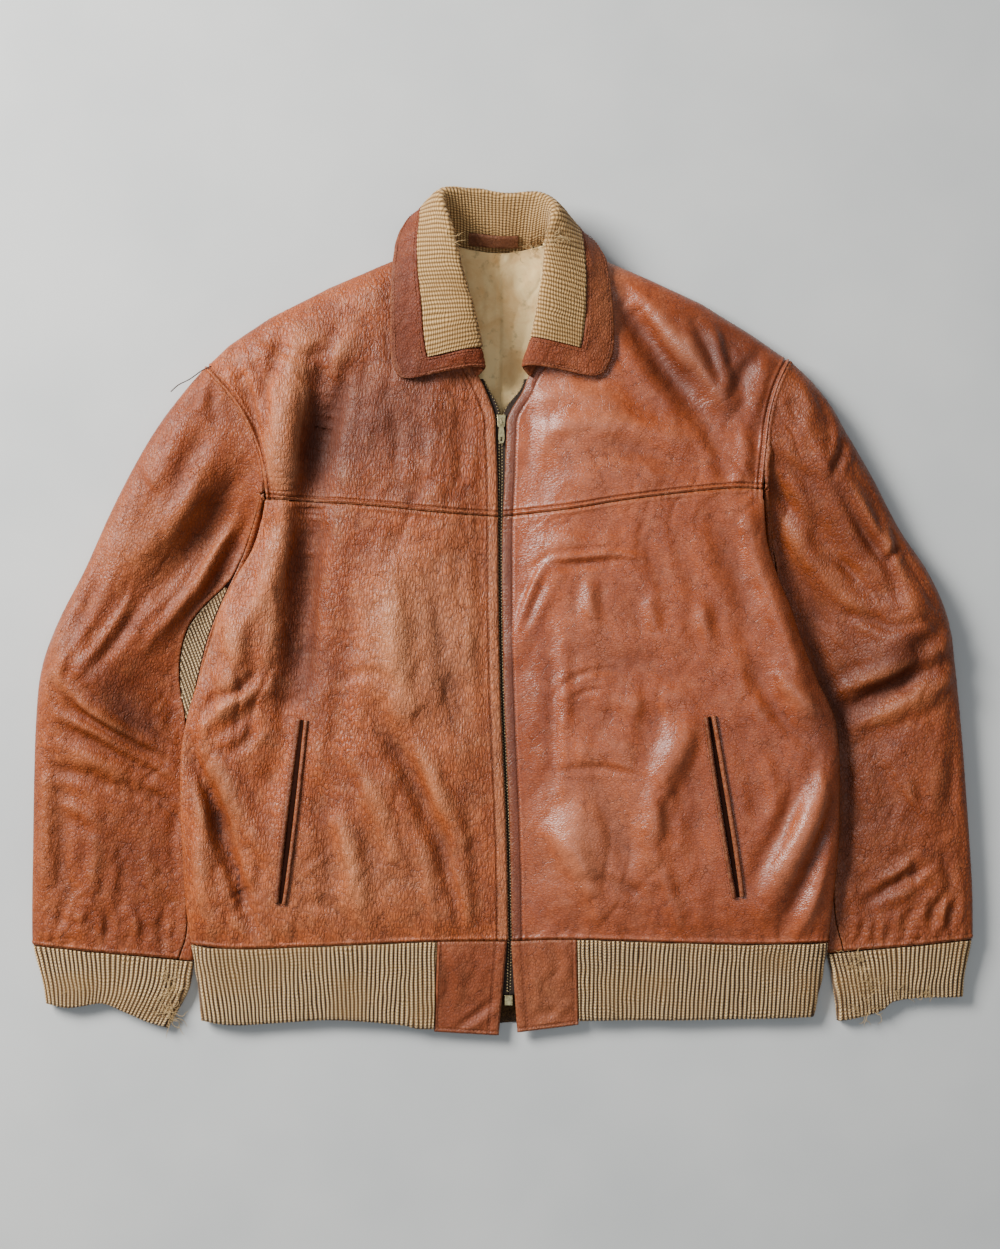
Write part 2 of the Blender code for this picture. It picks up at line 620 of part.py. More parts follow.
def collar_ribbon(t, s):
    """The middle of the collar's thickness, from the neck seam at s = 0 over the roll to the edge at s = 1."""
    s = round_tips(t, s)
    values = by_row([(*row.neck, *row.roll, *row.edge) for row in COLLAR])(t)
    neck, roll, edge = values[..., :3], values[..., 3:6], values[..., 6:]
    fall, rise = edge - roll, roll - neck
    along = fall / np.linalg.norm(fall, axis=-1, keepdims=True)
    bulge = rise - (rise * along).sum(axis=-1, keepdims=True) * along
    bulge = bulge / np.linalg.norm(bulge, axis=-1, keepdims=True)
    stops = [neck, neck + 0.55 * rise - 1.5 * bulge, roll, roll + 0.17 * fall + 4.0 * bulge]
    stops += [roll + 0.55 * fall + 3.0 * bulge, edge]
    place = thread(stops, COLLAR_STOPS, s)
    x, y = place[..., 0], place[..., 1]
    leaf = (s > COLLAR_STAND_SHARE) & (np.abs(t - 0.5) > COLLAR_BACK_HALF)
    leaf &= (np.abs(x) > COLLAR_TIP_X) | (t > 0.5)
    over_front = ramp((below_shoulder(x, y) + 2) / 6)
    least = (body_top(x, y) + LEATHER + COLLAR_CLEAR) * over_front
    place[..., 2] = np.where(leaf & (over_front > 0), np.maximum(place[..., 2], least), place[..., 2])
    return place


def moved(surface, by):
    """A surface moved off along its own normal, to the side that faces up or out of the fold."""

    def place(u, v):
        step = 1e-4
        here = surface(u, v)
        along_u = surface(np.clip(u + step, 0, 1), v) - surface(np.clip(u - step, 0, 1), v)
        along_v = surface(u, np.clip(v + step, 0, 1)) - surface(u, np.clip(v - step, 0, 1))
        normal = np.cross(along_u, along_v)
        return here + by * normal / np.linalg.norm(normal, axis=-1, keepdims=True)

    return place


def zip_level(y):
    """Height of the front edges beside the zip, down over the tabs."""
    on_tab = TAB_LOW_Z + (centre_loft(WAIST_Y) - TAB_LOW_Z) * ramp((y + 356) / 78)
    return np.where(y > WAIST_Y, centre_loft(y), on_tab)


def zip_edges(y):
    """The two front edges beside the zip, down to the end of the tabs."""
    share = np.clip((WAIST_Y - y) / (WAIST_Y + 356), 0, 1)
    right = right_front_edge(y) + (TAB_RIGHT.low_end[0] - right_front_edge(y)) * share
    left = left_front_edge(y) + (TAB_LEFT.low_start[0] - left_front_edge(y)) * share
    return right, left


def build_body(leather):
    waist = smooth_curve(WAIST_SEAM)
    gap = SEAM_GAP / 2
    for side, seam, front, yoke_seam, armhole, shoulder, neck in (
        ("right", right_side, right_front_edge, YOKE_SEAM_RIGHT, ARMHOLE_RIGHT, SHOULDER_RIGHT, FRONT_NECK_RIGHT),
        ("left", left_side, left_front_edge, YOKE_SEAM_LEFT, ARMHOLE_LEFT, SHOULDER_LEFT, FRONT_NECK_LEFT),
    ):
        yoke = smooth_curve(yoke_seam)
        hem = part_of(waist, 0.0 if side == "right" else 1.0, share_at_x(waist, front(WAIST_SEAM[4][1])))
        panel = four_sided(
            hem,
            yoke,
            edge_by_y(seam, hem(0.0)[1], yoke_seam[0][1]),
            edge_by_y(front, hem(1.0)[1], yoke_seam[-1][1]),
        )
        outside = 1 if side == "right" else -1
        sew(f"front_{side}", on_surface(panel, body_top, (0, -2 * gap)), 11, 15, LEATHER, leather,
            spacing=(ease_start, crowd(0, 1, tightness=1.5)), outside=outside)
        edge = [(float(front(y)), y) for y in (yoke_seam[-1][1], 118, 150, 167, 187)] + neck
        upper = four_sided(yoke, smooth_curve(shoulder), smooth_curve(armhole), smooth_curve(edge))
        sew(f"yoke_{side}", on_surface(upper, body_top, (0, 1.5 * gap)), 10, 9, LEATHER, leather,
            spacing=(crowd(0, tightness=2, reach=0.1), ease_end), outside=outside)
    back_right = smooth_curve([(float(right_side(y)), y) for y in range(-281, 80, 24)] + ARMHOLE_RIGHT)
    back_left = smooth_curve([(float(left_side(y)), y) for y in range(-279, 84, 24)] + ARMHOLE_LEFT)
    top = smooth_curve(SHOULDER_RIGHT[:-1] + BACK_NECK + SHOULDER_LEFT[-2::-1])
    back = four_sided(waist, top, back_right, back_left)
    sew("back", on_surface(back, body_under, (0, -gap)), 14, 15, LEATHER, leather,
        spacing=(crowd(0, 1, tightness=5), crowd(0.8, 1, tightness=2.5, reach=0.12)), outside=-1)


def build_sleeves(leather, knit):
    gap = SLEEVE_SEAM_GAP
    for side, sections, folds, armhole, seams, cuff, edge, way in (
        ("right", SLEEVE_RIGHT, SLEEVE_FOLDS_RIGHT, ARMHOLE_RIGHT, SLEEVE_SEAM_RIGHT,
         CUFF_RIGHT, CUFF_EDGE_RIGHT, -1),
        ("left", SLEEVE_LEFT, SLEEVE_FOLDS_LEFT, ARMHOLE_LEFT, SLEEVE_SEAM_LEFT,
         CUFF_LEFT, CUFF_EDGE_LEFT, 1),
    ):
        ring = sleeve_ring(sections, SLEEVE_TURN_Z, SLEEVE_TURN_IN, LEATHER, folds, smooth_curve(armhole), way)
        down = [row.down for row in seams]
        top_seam = profile(down, [row.top for row in seams])
        under_seam = profile(down, [row.under for row in seams])

        def top_end(down, seam=top_seam):
            return seam(down) - gap

        def gusset_start(down, seam=top_seam):
            return seam(down) + GUSSET_GAP

        def gusset_end(down, seam=under_seam):
            return seam(down) - GUSSET_GAP / 2

        def under_start(down, seam=under_seam):
            return seam(down) + gap

        rows = shares(*SLEEVE_ROWS)
        sew(f"sleeve_top_{side}", stretch(ring, 0.0, top_end), 7, 17, LEATHER, leather,
            spacing=(ease_start, rows), outside=way)
        sew(f"sleeve_under_{side}", stretch(ring, under_start, 2.0), 9, 17, LEATHER, leather,
            spacing=(crowd(0.04, 1.0), rows), outside=way)
        sew(f"gusset_{side}", stretch(ring, gusset_start, gusset_end), 4, len(GUSSET_ROWS) - 1, LEATHER, knit,
            spacing=(None, shares(*GUSSET_ROWS)), outside=way)
        tube = sleeve_ring(cuff, CUFF_FOLD_Z, CUFF_TURN_IN, KNIT)
        worn = profile(*zip(*edge))

        def cuff_surface(u, v, tube=tube, worn=worn):
            place = tube(2 * u, v)
            place[..., 1] += worn(np.where(u < 0.5, 2 * u, 2 - 2 * u)) * v**2
            return place

        sew(f"cuff_{side}", cuff_surface, 20, 3, KNIT, knit,
            spacing=(crowd(0, 0.5, 1.0, tightness=4), None), outside=way, close=True)


def build_waistband(leather, knit):
    rows = by_row(BAND)
    waist = smooth_curve(WAIST_SEAM)
    seam = waist(np.linspace(0, 1, 200))
    free = smooth_curve(BAND_EDGE)(np.linspace(0, 1, 200))

    def band(u, v):
        right, left, front, fold = np.moveaxis(rows(v), -1, 0)
        first, back, last = BAND_END_RIGHT - right, left - right, left - BAND_END_LEFT
        way = u * (first + back + last)
        on_first, on_last = way < first, way > first + back
        x = np.where(on_last, left - (way - first - back), right + way - first)
        x = np.where(on_first, BAND_END_RIGHT - way, x)
        inward = np.minimum(np.abs(way - first), np.abs(way - first - back))
        level = np.where(on_first | on_last, front, KNIT)
        top = np.interp(x, seam[:, 0], seam[:, 1]) - WAIST_GAP
        y = top + v * (np.interp(x, free[:, 0], free[:, 1]) - top)
        return np.stack([x, y, fold + (level - fold) * turn(inward, BAND_TURN_IN)], axis=-1)

    spacing = (crowd(0.216, 0.784, tightness=9, reach=0.03), None)
    sew("waistband", band, 36, 3, KNIT, knit, spacing=spacing, outside=1)
    for side, tab in (("right", TAB_RIGHT), ("left", TAB_LEFT)):
        top = part_of(waist, share_at_x(waist, tab.start), share_at_x(waist, tab.end))
        plan = four_sided(
            smooth_curve([tab.low_start, tab.low_end]), top,
            smooth_curve([tab.low_start, tuple(top(0.0))]), smooth_curve([tab.low_end, tuple(top(1.0))]),
        )

        def lying(x, y):
            return TAB_LOW_Z + (body_top(x, WAIST_Y + 0 * y) - TAB_LOW_Z) * ramp((y + 356) / 78)

        sew(f"waist_tab_{side}", on_surface(plan, lying, (0, -WAIST_GAP)), 3, 4, TAB, leather)


def build_collar(leather, knit, cloth):
    ends, border = COLLAR_BORDER_ENDS, COLLAR_BORDER_SHARE
    tip = np.array([0, 0.12, 0.42, 1]) * COLLAR_TIP_ALONG
    steps = [*tip, *np.linspace(ends, 1 - ends, 17), *(1 - tip[::-1])]
    rows = [0, 0.13, 0.26, 0.34, 0.42, 0.52, 0.64, border, 1]
    across, along = len(steps) - 1, len(rows) - 1
    spacing = (shares(*steps), shares(*rows))
    sew("collar_under", moved(collar_ribbon, -SEAM_GAP / 2), across, along, LEATHER, leather,
        spacing=spacing, outside=-1)
    sew("collar_border", moved(collar_ribbon, SEAM_GAP / 2), across, along, LEATHER, leather, spacing=spacing,
        keep=lambda u, v: v > 1 - 1 / along or u < len(tip) / across or u > 1 - len(tip) / across)
    inner = [ends + 0.0008, *steps[len(tip) + 1 : -len(tip) - 1], 1 - ends - 0.0008]
    sew("collar_knit", moved(collar_ribbon, SEAM_GAP / 2), len(inner) - 1, along - 1, KNIT, knit,
        spacing=(shares(*inner), shares(*rows[:-2], border - 0.006)))

    stand = moved(collar_ribbon, SEAM_GAP / 2 + KNIT + PANEL_GAP)

    def loop(u, v):
        place = stand(LOOP_FROM + (LOOP_TO - LOOP_FROM) * u, LOOP_LOW + (LOOP_HIGH - LOOP_LOW) * v)
        place[..., 2] += LOOP_ARCH * np.sin(np.pi * u)
        return place

    sew("hanger_loop", loop, 8, 1, LEATHER, leather)
    neck = [(x * LINING_NECK_SHARE, y - LINING_NECK_IN) for x, y in BACK_NECK]
    plan = four_sided(
        smooth_curve(LINING_FOOT), smooth_curve(neck),
        smooth_curve([LINING_FOOT[0], neck[0]]), smooth_curve([LINING_FOOT[1], neck[-1]]),
    )

    def lying(x, y):
        return body_under(x, y) + LINING_LIFT + LINING_RISE * ramp((y - LINING_RISE_FROM) / LINING_RISE_OVER)

    sew("back_lining", on_surface(plan, lying), 5, 6, LINING, cloth, spacing=(None, ease_end))


def top_of(piece):
    """The height of a finished piece's upper face over a point of the ground."""
    tree = BVHTree.FromObject(piece, bpy.context.evaluated_depsgraph_get())

    def height(x, y):
        starts = [Vector((a * MM, b * MM, 1)) for a, b in zip(x, y)]
        return np.array([tree.ray_cast(start, Vector((0, 0, -1)))[0].z / MM for start in starts])

    return height


def build_pockets(leather, cloth):
    for side, pocket in POCKETS.items():
        way = -1 if side == "right" else 1
        panel = top_of(bpy.data.objects[f"front_{side}"])
        top, bottom = np.array(pocket.top, float), np.array(pocket.bottom, float)
        length = np.linalg.norm(bottom - top)
        along = (bottom - top) / length
        out = np.array([-along[1], along[0]])
        out = out if out[0] * way > 0 else -out
        for name, start, end, wall, material in (
            ("welt_inner", -SLIT_HALF - WELT_WIDTH, -SLIT_HALF, WELT, leather),
            ("welt_outer", SLIT_HALF, SLIT_HALF + WELT_WIDTH, WELT, leather),
            ("pocket_facing", SEAM_GAP - SLIT_HALF, SLIT_HALF - SEAM_GAP, FACING, cloth),
        ):

            def strip(u, v, start=start, end=end):
                return top + along * length * v[..., None] + out * (start + (end - start) * u)[..., None]

            lying = on_surface(strip, lambda x, y: panel(x, y) + PANEL_GAP)
            sew(f"{name}_{side}", lying, 1, 12, wall, material, outside=-way)


def solid_box(name, size, centre, material, bevel=0.0, taper=1.0):
    """A box, narrower by taper at its low-Y end, with rounded edges."""
    block = bmesh.new()
    bmesh.ops.create_cube(block, size=1)
    for corner in block.verts:
        if corner.co.y < 0:
            corner.co.x *= taper
    bmesh.ops.scale(block, vec=np.array(size) * MM, verts=block.verts)
    bmesh.ops.translate(block, vec=np.array(centre) * MM, verts=block.verts)
    mesh = bpy.data.meshes.new(name)
    block.to_mesh(mesh)
    block.free()
    piece = make_object(name, mesh, material)
    if bevel:
        rounded = piece.modifiers.new("rounded", "BEVEL")
        rounded.width = bevel * MM
        rounded.segments = 2
    return piece


def as_cutter(piece):
    bpy.data.collections["leather_blouson"].objects.unlink(piece)
    bpy.data.collections["cutters"].objects.link(piece)
    piece.hide_render = True
    piece.display_type = "WIRE"


def combine(piece, other, operation):
    cut = piece.modifiers.new(other.name, "BOOLEAN")
    cut.operation = operation
    cut.solver = "EXACT"
    cut.object = other
    as_cutter(other)


def build_zip(cloth, brass):
    for side, edge, out in (("right", 0, -1), ("left", 1, 1)):

        def tape(u, v, edge=edge, out=out):
            y = ZIP_BOTTOM + (ZIP_TOP - ZIP_BOTTOM) * v
            edges = zip_edges(y)
            shut = (edges[0] + edges[1]) / 2 + out * TAPE_SLOT
            parted = edges[edge] - out * TAPE_SHOWS
            inner = shut + (parted - shut) * ramp((y - ZIP_PARTS_AT) / ZIP_OPEN_OVER)
            outer = edges[edge] + out * TAPE_UNDER_EDGE
            return np.stack([inner + (outer - inner) * u, y, zip_level(y) - TAPE_DROP], axis=-1)

        spacing = (None, crowd(0.93, tightness=3, reach=0.08))
        sew(f"zip_tape_{side}", tape, 1, 15, TAPE, cloth, spacing=spacing, outside=out)
    x, y = SLIDER_AT
    middle = float(zip_level(np.array(y))) - TAPE_DROP + TAPE / 2
    plate_at = SLIDER_MOUTH + SLIDER_PLATE / 2
    size = (SLIDER_TOP_WIDTH, SLIDER_LENGTH, SLIDER_PLATE)
    taper = SLIDER_LOW_WIDTH / SLIDER_TOP_WIDTH
    ahead = y + PLATE_AHEAD
    slider = solid_box("zip_slider", size, (x, ahead, middle + plate_at), brass, PLATE_ROUND, taper)
    lower = solid_box("slider_lower", size, (x, ahead, middle - plate_at), brass, PLATE_ROUND, taper)
    post_at = (x, y + SLIDER_LENGTH / 2 - BRASS_ROOT, middle)
    post = solid_box("slider_post", (*SLIDER_POST, 2 * SLIDER_MOUTH + SLIDER_PLATE), post_at, brass)
    top = middle + SLIDER_MOUTH + SLIDER_PLATE
    bail_height = BAIL_CLEAR + BAIL_THICK + BRASS_ROOT
    bail_at = (x, y, top - BRASS_ROOT + bail_height / 2)
    bail = solid_box("slider_bail", (BAIL_WIDTH, BAIL_LENGTH, bail_height), bail_at, brass, BAIL_ROUND)
    bay_at = (x, y, top + BAIL_CLEAR / 2)
    bay = solid_box("bail_bay", (3 * BAIL_WIDTH, BAIL_LENGTH - 2 * BAIL_THICK, BAIL_CLEAR), bay_at, brass)
    combine(bail, bay, "DIFFERENCE")
    for other in (lower, post, bail):
        combine(slider, other, "UNION")

    build_pull(bay_at, brass)
    low = ZIP_BOTTOM - SEAM_GAP - BOX_SIZE[1] / 2
    edges = zip_edges(np.array(low))
    level = float(zip_level(np.array(low))) - TAPE_DROP + TAPE / 2
    solid_box("zip_box", BOX_SIZE, (float(edges[0] + edges[1]) / 2, low, level), brass, BOX_ROUND)


def build_pull(hinge, brass):
    outline = PULL_HALF_OUTLINE + [(-a, b) for a, b in PULL_HALF_OUTLINE[::-1]]
    tab = bmesh.new()
    corners = [tab.verts.new((a * MM, b * MM, -PULL_THICK / 2 * MM)) for a, b in outline]
    face = tab.faces.new(corners)
    raised = bmesh.ops.extrude_face_region(tab, geom=[face])["geom"]
    lifted = [item for item in raised if isinstance(item, bmesh.types.BMVert)]
    bmesh.ops.translate(tab, vec=(0, 0, PULL_THICK * MM), verts=lifted)
    bmesh.ops.recalc_face_normals(tab, faces=tab.faces)
    mesh = bpy.data.meshes.new("zip_pull")
    tab.to_mesh(mesh)
    tab.free()
    pull = make_object("zip_pull", mesh, brass)
    pull.location = Vector(hinge) * MM
    eye_at = (hinge[0], hinge[1] - PULL_PIN - PULL_EYE[1] / 2, hinge[2])
    eye = solid_box("pull_eye", (*PULL_EYE, 3 * PULL_THICK), eye_at, brass)
    hole_at = (hinge[0], hinge[1] - PULL_HOLE_DOWN, hinge[2])
    hole = solid_box("pull_hole", (*PULL_HOLE, 3 * PULL_THICK), hole_at, brass, PULL_HOLE_ROUND)
    for other in (eye, hole):
        combine(pull, other, "DIFFERENCE")
    rounded = pull.modifiers.new("rounded", "BEVEL")
    rounded.width = PULL_ROUND * MM
    rounded.limit_method = "ANGLE"


def main():
    for item in list(bpy.data.objects):
        bpy.data.objects.remove(item)
    for name in ("leather_blouson", "cutters"):
        bpy.context.scene.collection.children.link(bpy.data.collections.new(name))
    leather = make_material("tan_leather", COLOURS["leather"], 0.45)
    knit = make_material("ribbed_knit", COLOURS["knit"], 0.95)
    lining = make_material("lining_cloth", COLOURS["lining"], 0.85)
    tape = make_material("zip_tape", COLOURS["tape"], 0.9)
    brass = make_material("aged_brass", COLOURS["brass"], 0.4, 1.0)
    build_body(leather)
    build_sleeves(leather, knit)
    build_waistband(leather, knit)
    build_collar(leather, knit, lining)
    build_pockets(leather, tape)
    build_zip(tape, brass)


main()
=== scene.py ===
import json
import math
from collections import namedtuple
from itertools import product, starmap

import bpy
import numpy as np
from mathutils import Vector
from mathutils.bvhtree import BVHTree
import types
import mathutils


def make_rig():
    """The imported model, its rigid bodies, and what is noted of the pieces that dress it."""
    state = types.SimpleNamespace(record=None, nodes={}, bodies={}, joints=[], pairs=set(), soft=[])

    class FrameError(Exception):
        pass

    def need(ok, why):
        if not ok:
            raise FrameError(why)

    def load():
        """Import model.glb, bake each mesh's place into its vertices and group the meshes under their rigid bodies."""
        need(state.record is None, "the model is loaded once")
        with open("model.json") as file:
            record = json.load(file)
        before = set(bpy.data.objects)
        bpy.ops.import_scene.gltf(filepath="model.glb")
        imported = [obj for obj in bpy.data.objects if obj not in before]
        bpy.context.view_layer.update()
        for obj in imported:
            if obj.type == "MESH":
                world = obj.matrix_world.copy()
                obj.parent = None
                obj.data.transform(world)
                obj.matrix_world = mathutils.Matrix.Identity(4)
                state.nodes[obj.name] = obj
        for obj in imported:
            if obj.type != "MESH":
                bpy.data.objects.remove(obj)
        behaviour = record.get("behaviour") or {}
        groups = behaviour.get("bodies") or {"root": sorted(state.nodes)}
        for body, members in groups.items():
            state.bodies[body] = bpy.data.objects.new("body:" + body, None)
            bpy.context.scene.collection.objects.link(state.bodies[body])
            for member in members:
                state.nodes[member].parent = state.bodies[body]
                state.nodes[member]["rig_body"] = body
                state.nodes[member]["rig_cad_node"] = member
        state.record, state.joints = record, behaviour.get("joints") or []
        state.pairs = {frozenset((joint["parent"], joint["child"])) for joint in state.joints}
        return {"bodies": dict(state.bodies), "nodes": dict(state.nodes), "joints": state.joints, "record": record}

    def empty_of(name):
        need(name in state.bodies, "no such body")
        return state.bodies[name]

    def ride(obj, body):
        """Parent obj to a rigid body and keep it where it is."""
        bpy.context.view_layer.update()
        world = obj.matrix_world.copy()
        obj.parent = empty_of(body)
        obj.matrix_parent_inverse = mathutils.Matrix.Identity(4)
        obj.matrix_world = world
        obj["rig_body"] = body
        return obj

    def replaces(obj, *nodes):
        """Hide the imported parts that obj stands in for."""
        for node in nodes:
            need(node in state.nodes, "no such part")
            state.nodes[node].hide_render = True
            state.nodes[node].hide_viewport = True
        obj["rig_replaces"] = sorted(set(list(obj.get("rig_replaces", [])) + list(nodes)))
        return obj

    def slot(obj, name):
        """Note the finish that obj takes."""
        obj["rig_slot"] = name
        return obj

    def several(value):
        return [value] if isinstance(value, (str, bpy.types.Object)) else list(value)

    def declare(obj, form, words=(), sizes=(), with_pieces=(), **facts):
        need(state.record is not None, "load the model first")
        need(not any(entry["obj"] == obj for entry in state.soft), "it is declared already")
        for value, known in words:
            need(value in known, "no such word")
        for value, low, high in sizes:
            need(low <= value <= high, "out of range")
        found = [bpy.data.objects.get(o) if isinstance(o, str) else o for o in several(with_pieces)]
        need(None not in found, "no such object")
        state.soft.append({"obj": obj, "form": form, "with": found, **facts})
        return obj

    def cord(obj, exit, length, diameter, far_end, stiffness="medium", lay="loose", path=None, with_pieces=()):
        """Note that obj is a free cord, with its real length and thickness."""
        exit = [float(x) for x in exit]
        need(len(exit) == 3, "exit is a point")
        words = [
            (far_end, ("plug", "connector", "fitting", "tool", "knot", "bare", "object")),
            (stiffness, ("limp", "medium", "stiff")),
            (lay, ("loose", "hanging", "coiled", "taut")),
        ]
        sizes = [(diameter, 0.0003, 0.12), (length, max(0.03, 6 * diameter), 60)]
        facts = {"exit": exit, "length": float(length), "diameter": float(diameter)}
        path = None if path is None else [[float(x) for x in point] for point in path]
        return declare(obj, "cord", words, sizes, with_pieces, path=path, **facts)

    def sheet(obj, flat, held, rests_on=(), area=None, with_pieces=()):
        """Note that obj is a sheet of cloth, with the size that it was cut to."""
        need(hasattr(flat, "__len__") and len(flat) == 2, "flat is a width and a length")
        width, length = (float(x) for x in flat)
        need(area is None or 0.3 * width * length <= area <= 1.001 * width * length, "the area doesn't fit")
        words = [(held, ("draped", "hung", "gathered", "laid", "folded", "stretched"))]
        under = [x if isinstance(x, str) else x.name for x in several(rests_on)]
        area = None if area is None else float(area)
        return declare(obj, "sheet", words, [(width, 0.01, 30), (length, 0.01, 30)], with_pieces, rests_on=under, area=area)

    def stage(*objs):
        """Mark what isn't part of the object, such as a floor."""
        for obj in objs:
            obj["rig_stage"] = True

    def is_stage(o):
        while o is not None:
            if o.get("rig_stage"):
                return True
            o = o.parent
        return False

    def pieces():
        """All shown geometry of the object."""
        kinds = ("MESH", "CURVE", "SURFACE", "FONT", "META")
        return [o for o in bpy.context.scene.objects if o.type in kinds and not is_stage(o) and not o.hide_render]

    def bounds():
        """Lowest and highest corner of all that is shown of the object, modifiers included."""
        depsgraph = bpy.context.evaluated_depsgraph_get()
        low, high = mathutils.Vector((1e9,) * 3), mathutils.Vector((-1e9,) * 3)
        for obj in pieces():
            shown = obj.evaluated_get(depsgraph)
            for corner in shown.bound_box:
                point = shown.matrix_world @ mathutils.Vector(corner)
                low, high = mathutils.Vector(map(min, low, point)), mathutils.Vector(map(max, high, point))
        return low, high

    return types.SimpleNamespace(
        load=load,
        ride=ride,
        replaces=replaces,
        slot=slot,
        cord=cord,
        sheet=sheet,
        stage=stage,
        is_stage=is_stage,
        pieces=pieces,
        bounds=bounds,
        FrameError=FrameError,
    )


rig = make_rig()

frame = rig.load()
size_of_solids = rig.bounds()

MM = 0.001

# Wall thicknesses, and the gap between two pieces that are sewn together.
LEATHER = 1.8
KNIT = 2.4
TAB = 2.6
LINING = 1.0
TAPE = 0.9
SEAM_GAP = 0.3
# The ribs stand up on a thinner ground, so the solids' walls hold both.
RIB_GROUND = KNIT - 0.9
COLLAR_RIB_GROUND = KNIT - 0.6

# How the cloth turns at its folded edges: how far in it lies flat, and the height of the shoulder fold.
SIDE_TURN_IN = 30.0
SHOULDER_TURN_Z = 12.0
SHOULDER_TURN_IN = 24.0
UNDERARM = 96.0
CENTRE_VALLEY = 62.0
SEAM_FLAT = 22.0

Section = namedtuple("Section", "y right left")
Loft = namedtuple("Loft", "y side panel centre fold")
Fold = namedtuple("Fold", "start middle end half_width height")
SleeveSection = namedtuple("SleeveSection", "outer inner crown inner_height", defaults=[5.4])
CollarSection = namedtuple("CollarSection", "neck roll edge")
Seam = namedtuple("Seam", "down top under")
Band = namedtuple("Band", "right left front fold")
Tab = namedtuple("Tab", "start end low_start low_end")
Pocket = namedtuple("Pocket", "top bottom")

# The folded side edges of the body, from the waist seam to the underarm.
SIDES = list(starmap(Section, [
    (-279, -263.5, 275.0),
    (-245, -267.5, 279.0),
    (-200, -270.0, 283.0),
    (-158, -271.5, 284.2),
    (-116, -270.5, 283.4),
    (-86, -265.0, 279.0),
    (-56, -256.0, 265.0),
    (-22, -245.5, 251.5),
    (5, -237.5, 242.5),
    (32, -223.5, 231.0),
    (62, -206.5, 222.0),
    (96, -199.0, 219.5),
    (106, -199.0, 219.5),
]))

# The two front edges, either side of the zip, from the waist seam to the collar.
FRONT_EDGES = list(starmap(Section, [
    (-278, 5.0, 8.0),
    (-186, 3.2, 6.2),
    (-75, -1.4, 1.6),
    (0, -3.2, 0.0),
    (63, -3.6, -0.2),
    (96, -3.9, 0.9),
    (118, -4.3, 2.0),
    (140, -5.5, 2.9),
    (158, -5.8, 3.6),
    (168, -6.6, 5.2),
    (178, -10.0, 10.5),
    (189, -14.5, 18.0),
    (199, -19.6, 21.7),
]))

# Height of the front above the ground: at the sides, over the panels, beside the zip and at the side folds.
LOFTS = list(starmap(Loft, [
    (-279, 16, 17, 14, 11),
    (-240, 22, 23, 15, 14),
    (-140, 24, 26, 16, 18),
    (0, 25, 27, 17, 18),
    (60, 26, 28, 17.5, 20.5),
    (96, 27, 29, 18, 24.5),
    (170, 28, 28, 19, 24.5),
    (230, 27, 27, 21, 24.5),
    (320, 24, 24, 22, 24.5),
]))

# The largest folds of the front. A positive height is a ridge and a negative one a trough.
FRONT_FOLDS = list(starmap(Fold, [
    ((-196, 215), (-186, 150), (-183, 92), 17, 8),
    ((-150, 190), (-166, 90), (-178, -40), 20, -9),
    ((-178, -40), (-186, -110), (-204, -165), 17, -7),
    ((-224, 12), (-224, -30), (-232, -66), 19, 6),
    ((-268, -108), (-243, -165), (-214, -262), 15, -8),
    ((-104, 60), (-98, -40), (-112, -150), 34, 4),
    ((-104, -84), (-72, -150), (-46, -232), 13, -5),
    ((108, 262), (140, 205), (172, 168), 12, -5),
    ((150, 255), (176, 215), (190, 180), 11, 5),
    ((40, 148), (90, 140), (150, 118), 34, 4),
    ((42, 34), (24, 0), (12, -34), 9, 4),
    ((156, -96), (130, -140), (124, -205), 14, 5),
    ((276, -128), (252, -190), (222, -248), 13, 5),
    ((232, 20), (240, -30), (258, -80), 14, 4),
]))

YOKE_SEAM_RIGHT = [(-199, 96.5), (-172, 95), (-104, 90), (-53, 85), (-3.8, 82)]
YOKE_SEAM_LEFT = [(219.5, 105), (193, 105.5), (151, 101.5), (100, 95), (57, 88), (0.6, 82)]
ARMHOLE_RIGHT = [(-199, 96.5), (-204, 129), (-215.5, 160), (-233, 186), (-252, 206)]
ARMHOLE_LEFT = [(219.5, 105), (222.5, 135), (226, 165), (233, 191), (243, 212.5)]
SHOULDER_RIGHT = [(-252, 206), (-231, 226.5), (-197, 249), (-146, 275), (-95, 297), (-60, 312)]
SHOULDER_LEFT = [(243, 212.5), (210, 235.5), (168, 261.5), (125, 281.5), (89, 297), (49, 314)]
FRONT_NECK_RIGHT = [(-19.6, 199), (-37, 226), (-50, 258), (-58, 290), (-60, 312)]
FRONT_NECK_LEFT = [(21.7, 199), (38, 228), (47, 258), (50, 290), (49, 314)]
BACK_NECK = [(-60, 312), (-30, 306), (-2, 303), (24, 306), (49, 314)]
WAIST_SEAM = [
    (-263.5, -281), (-223, -284), (-147, -281.5), (-55, -277.5),
    (6, -277.5), (63, -275.8), (190, -280), (275, -279),
]

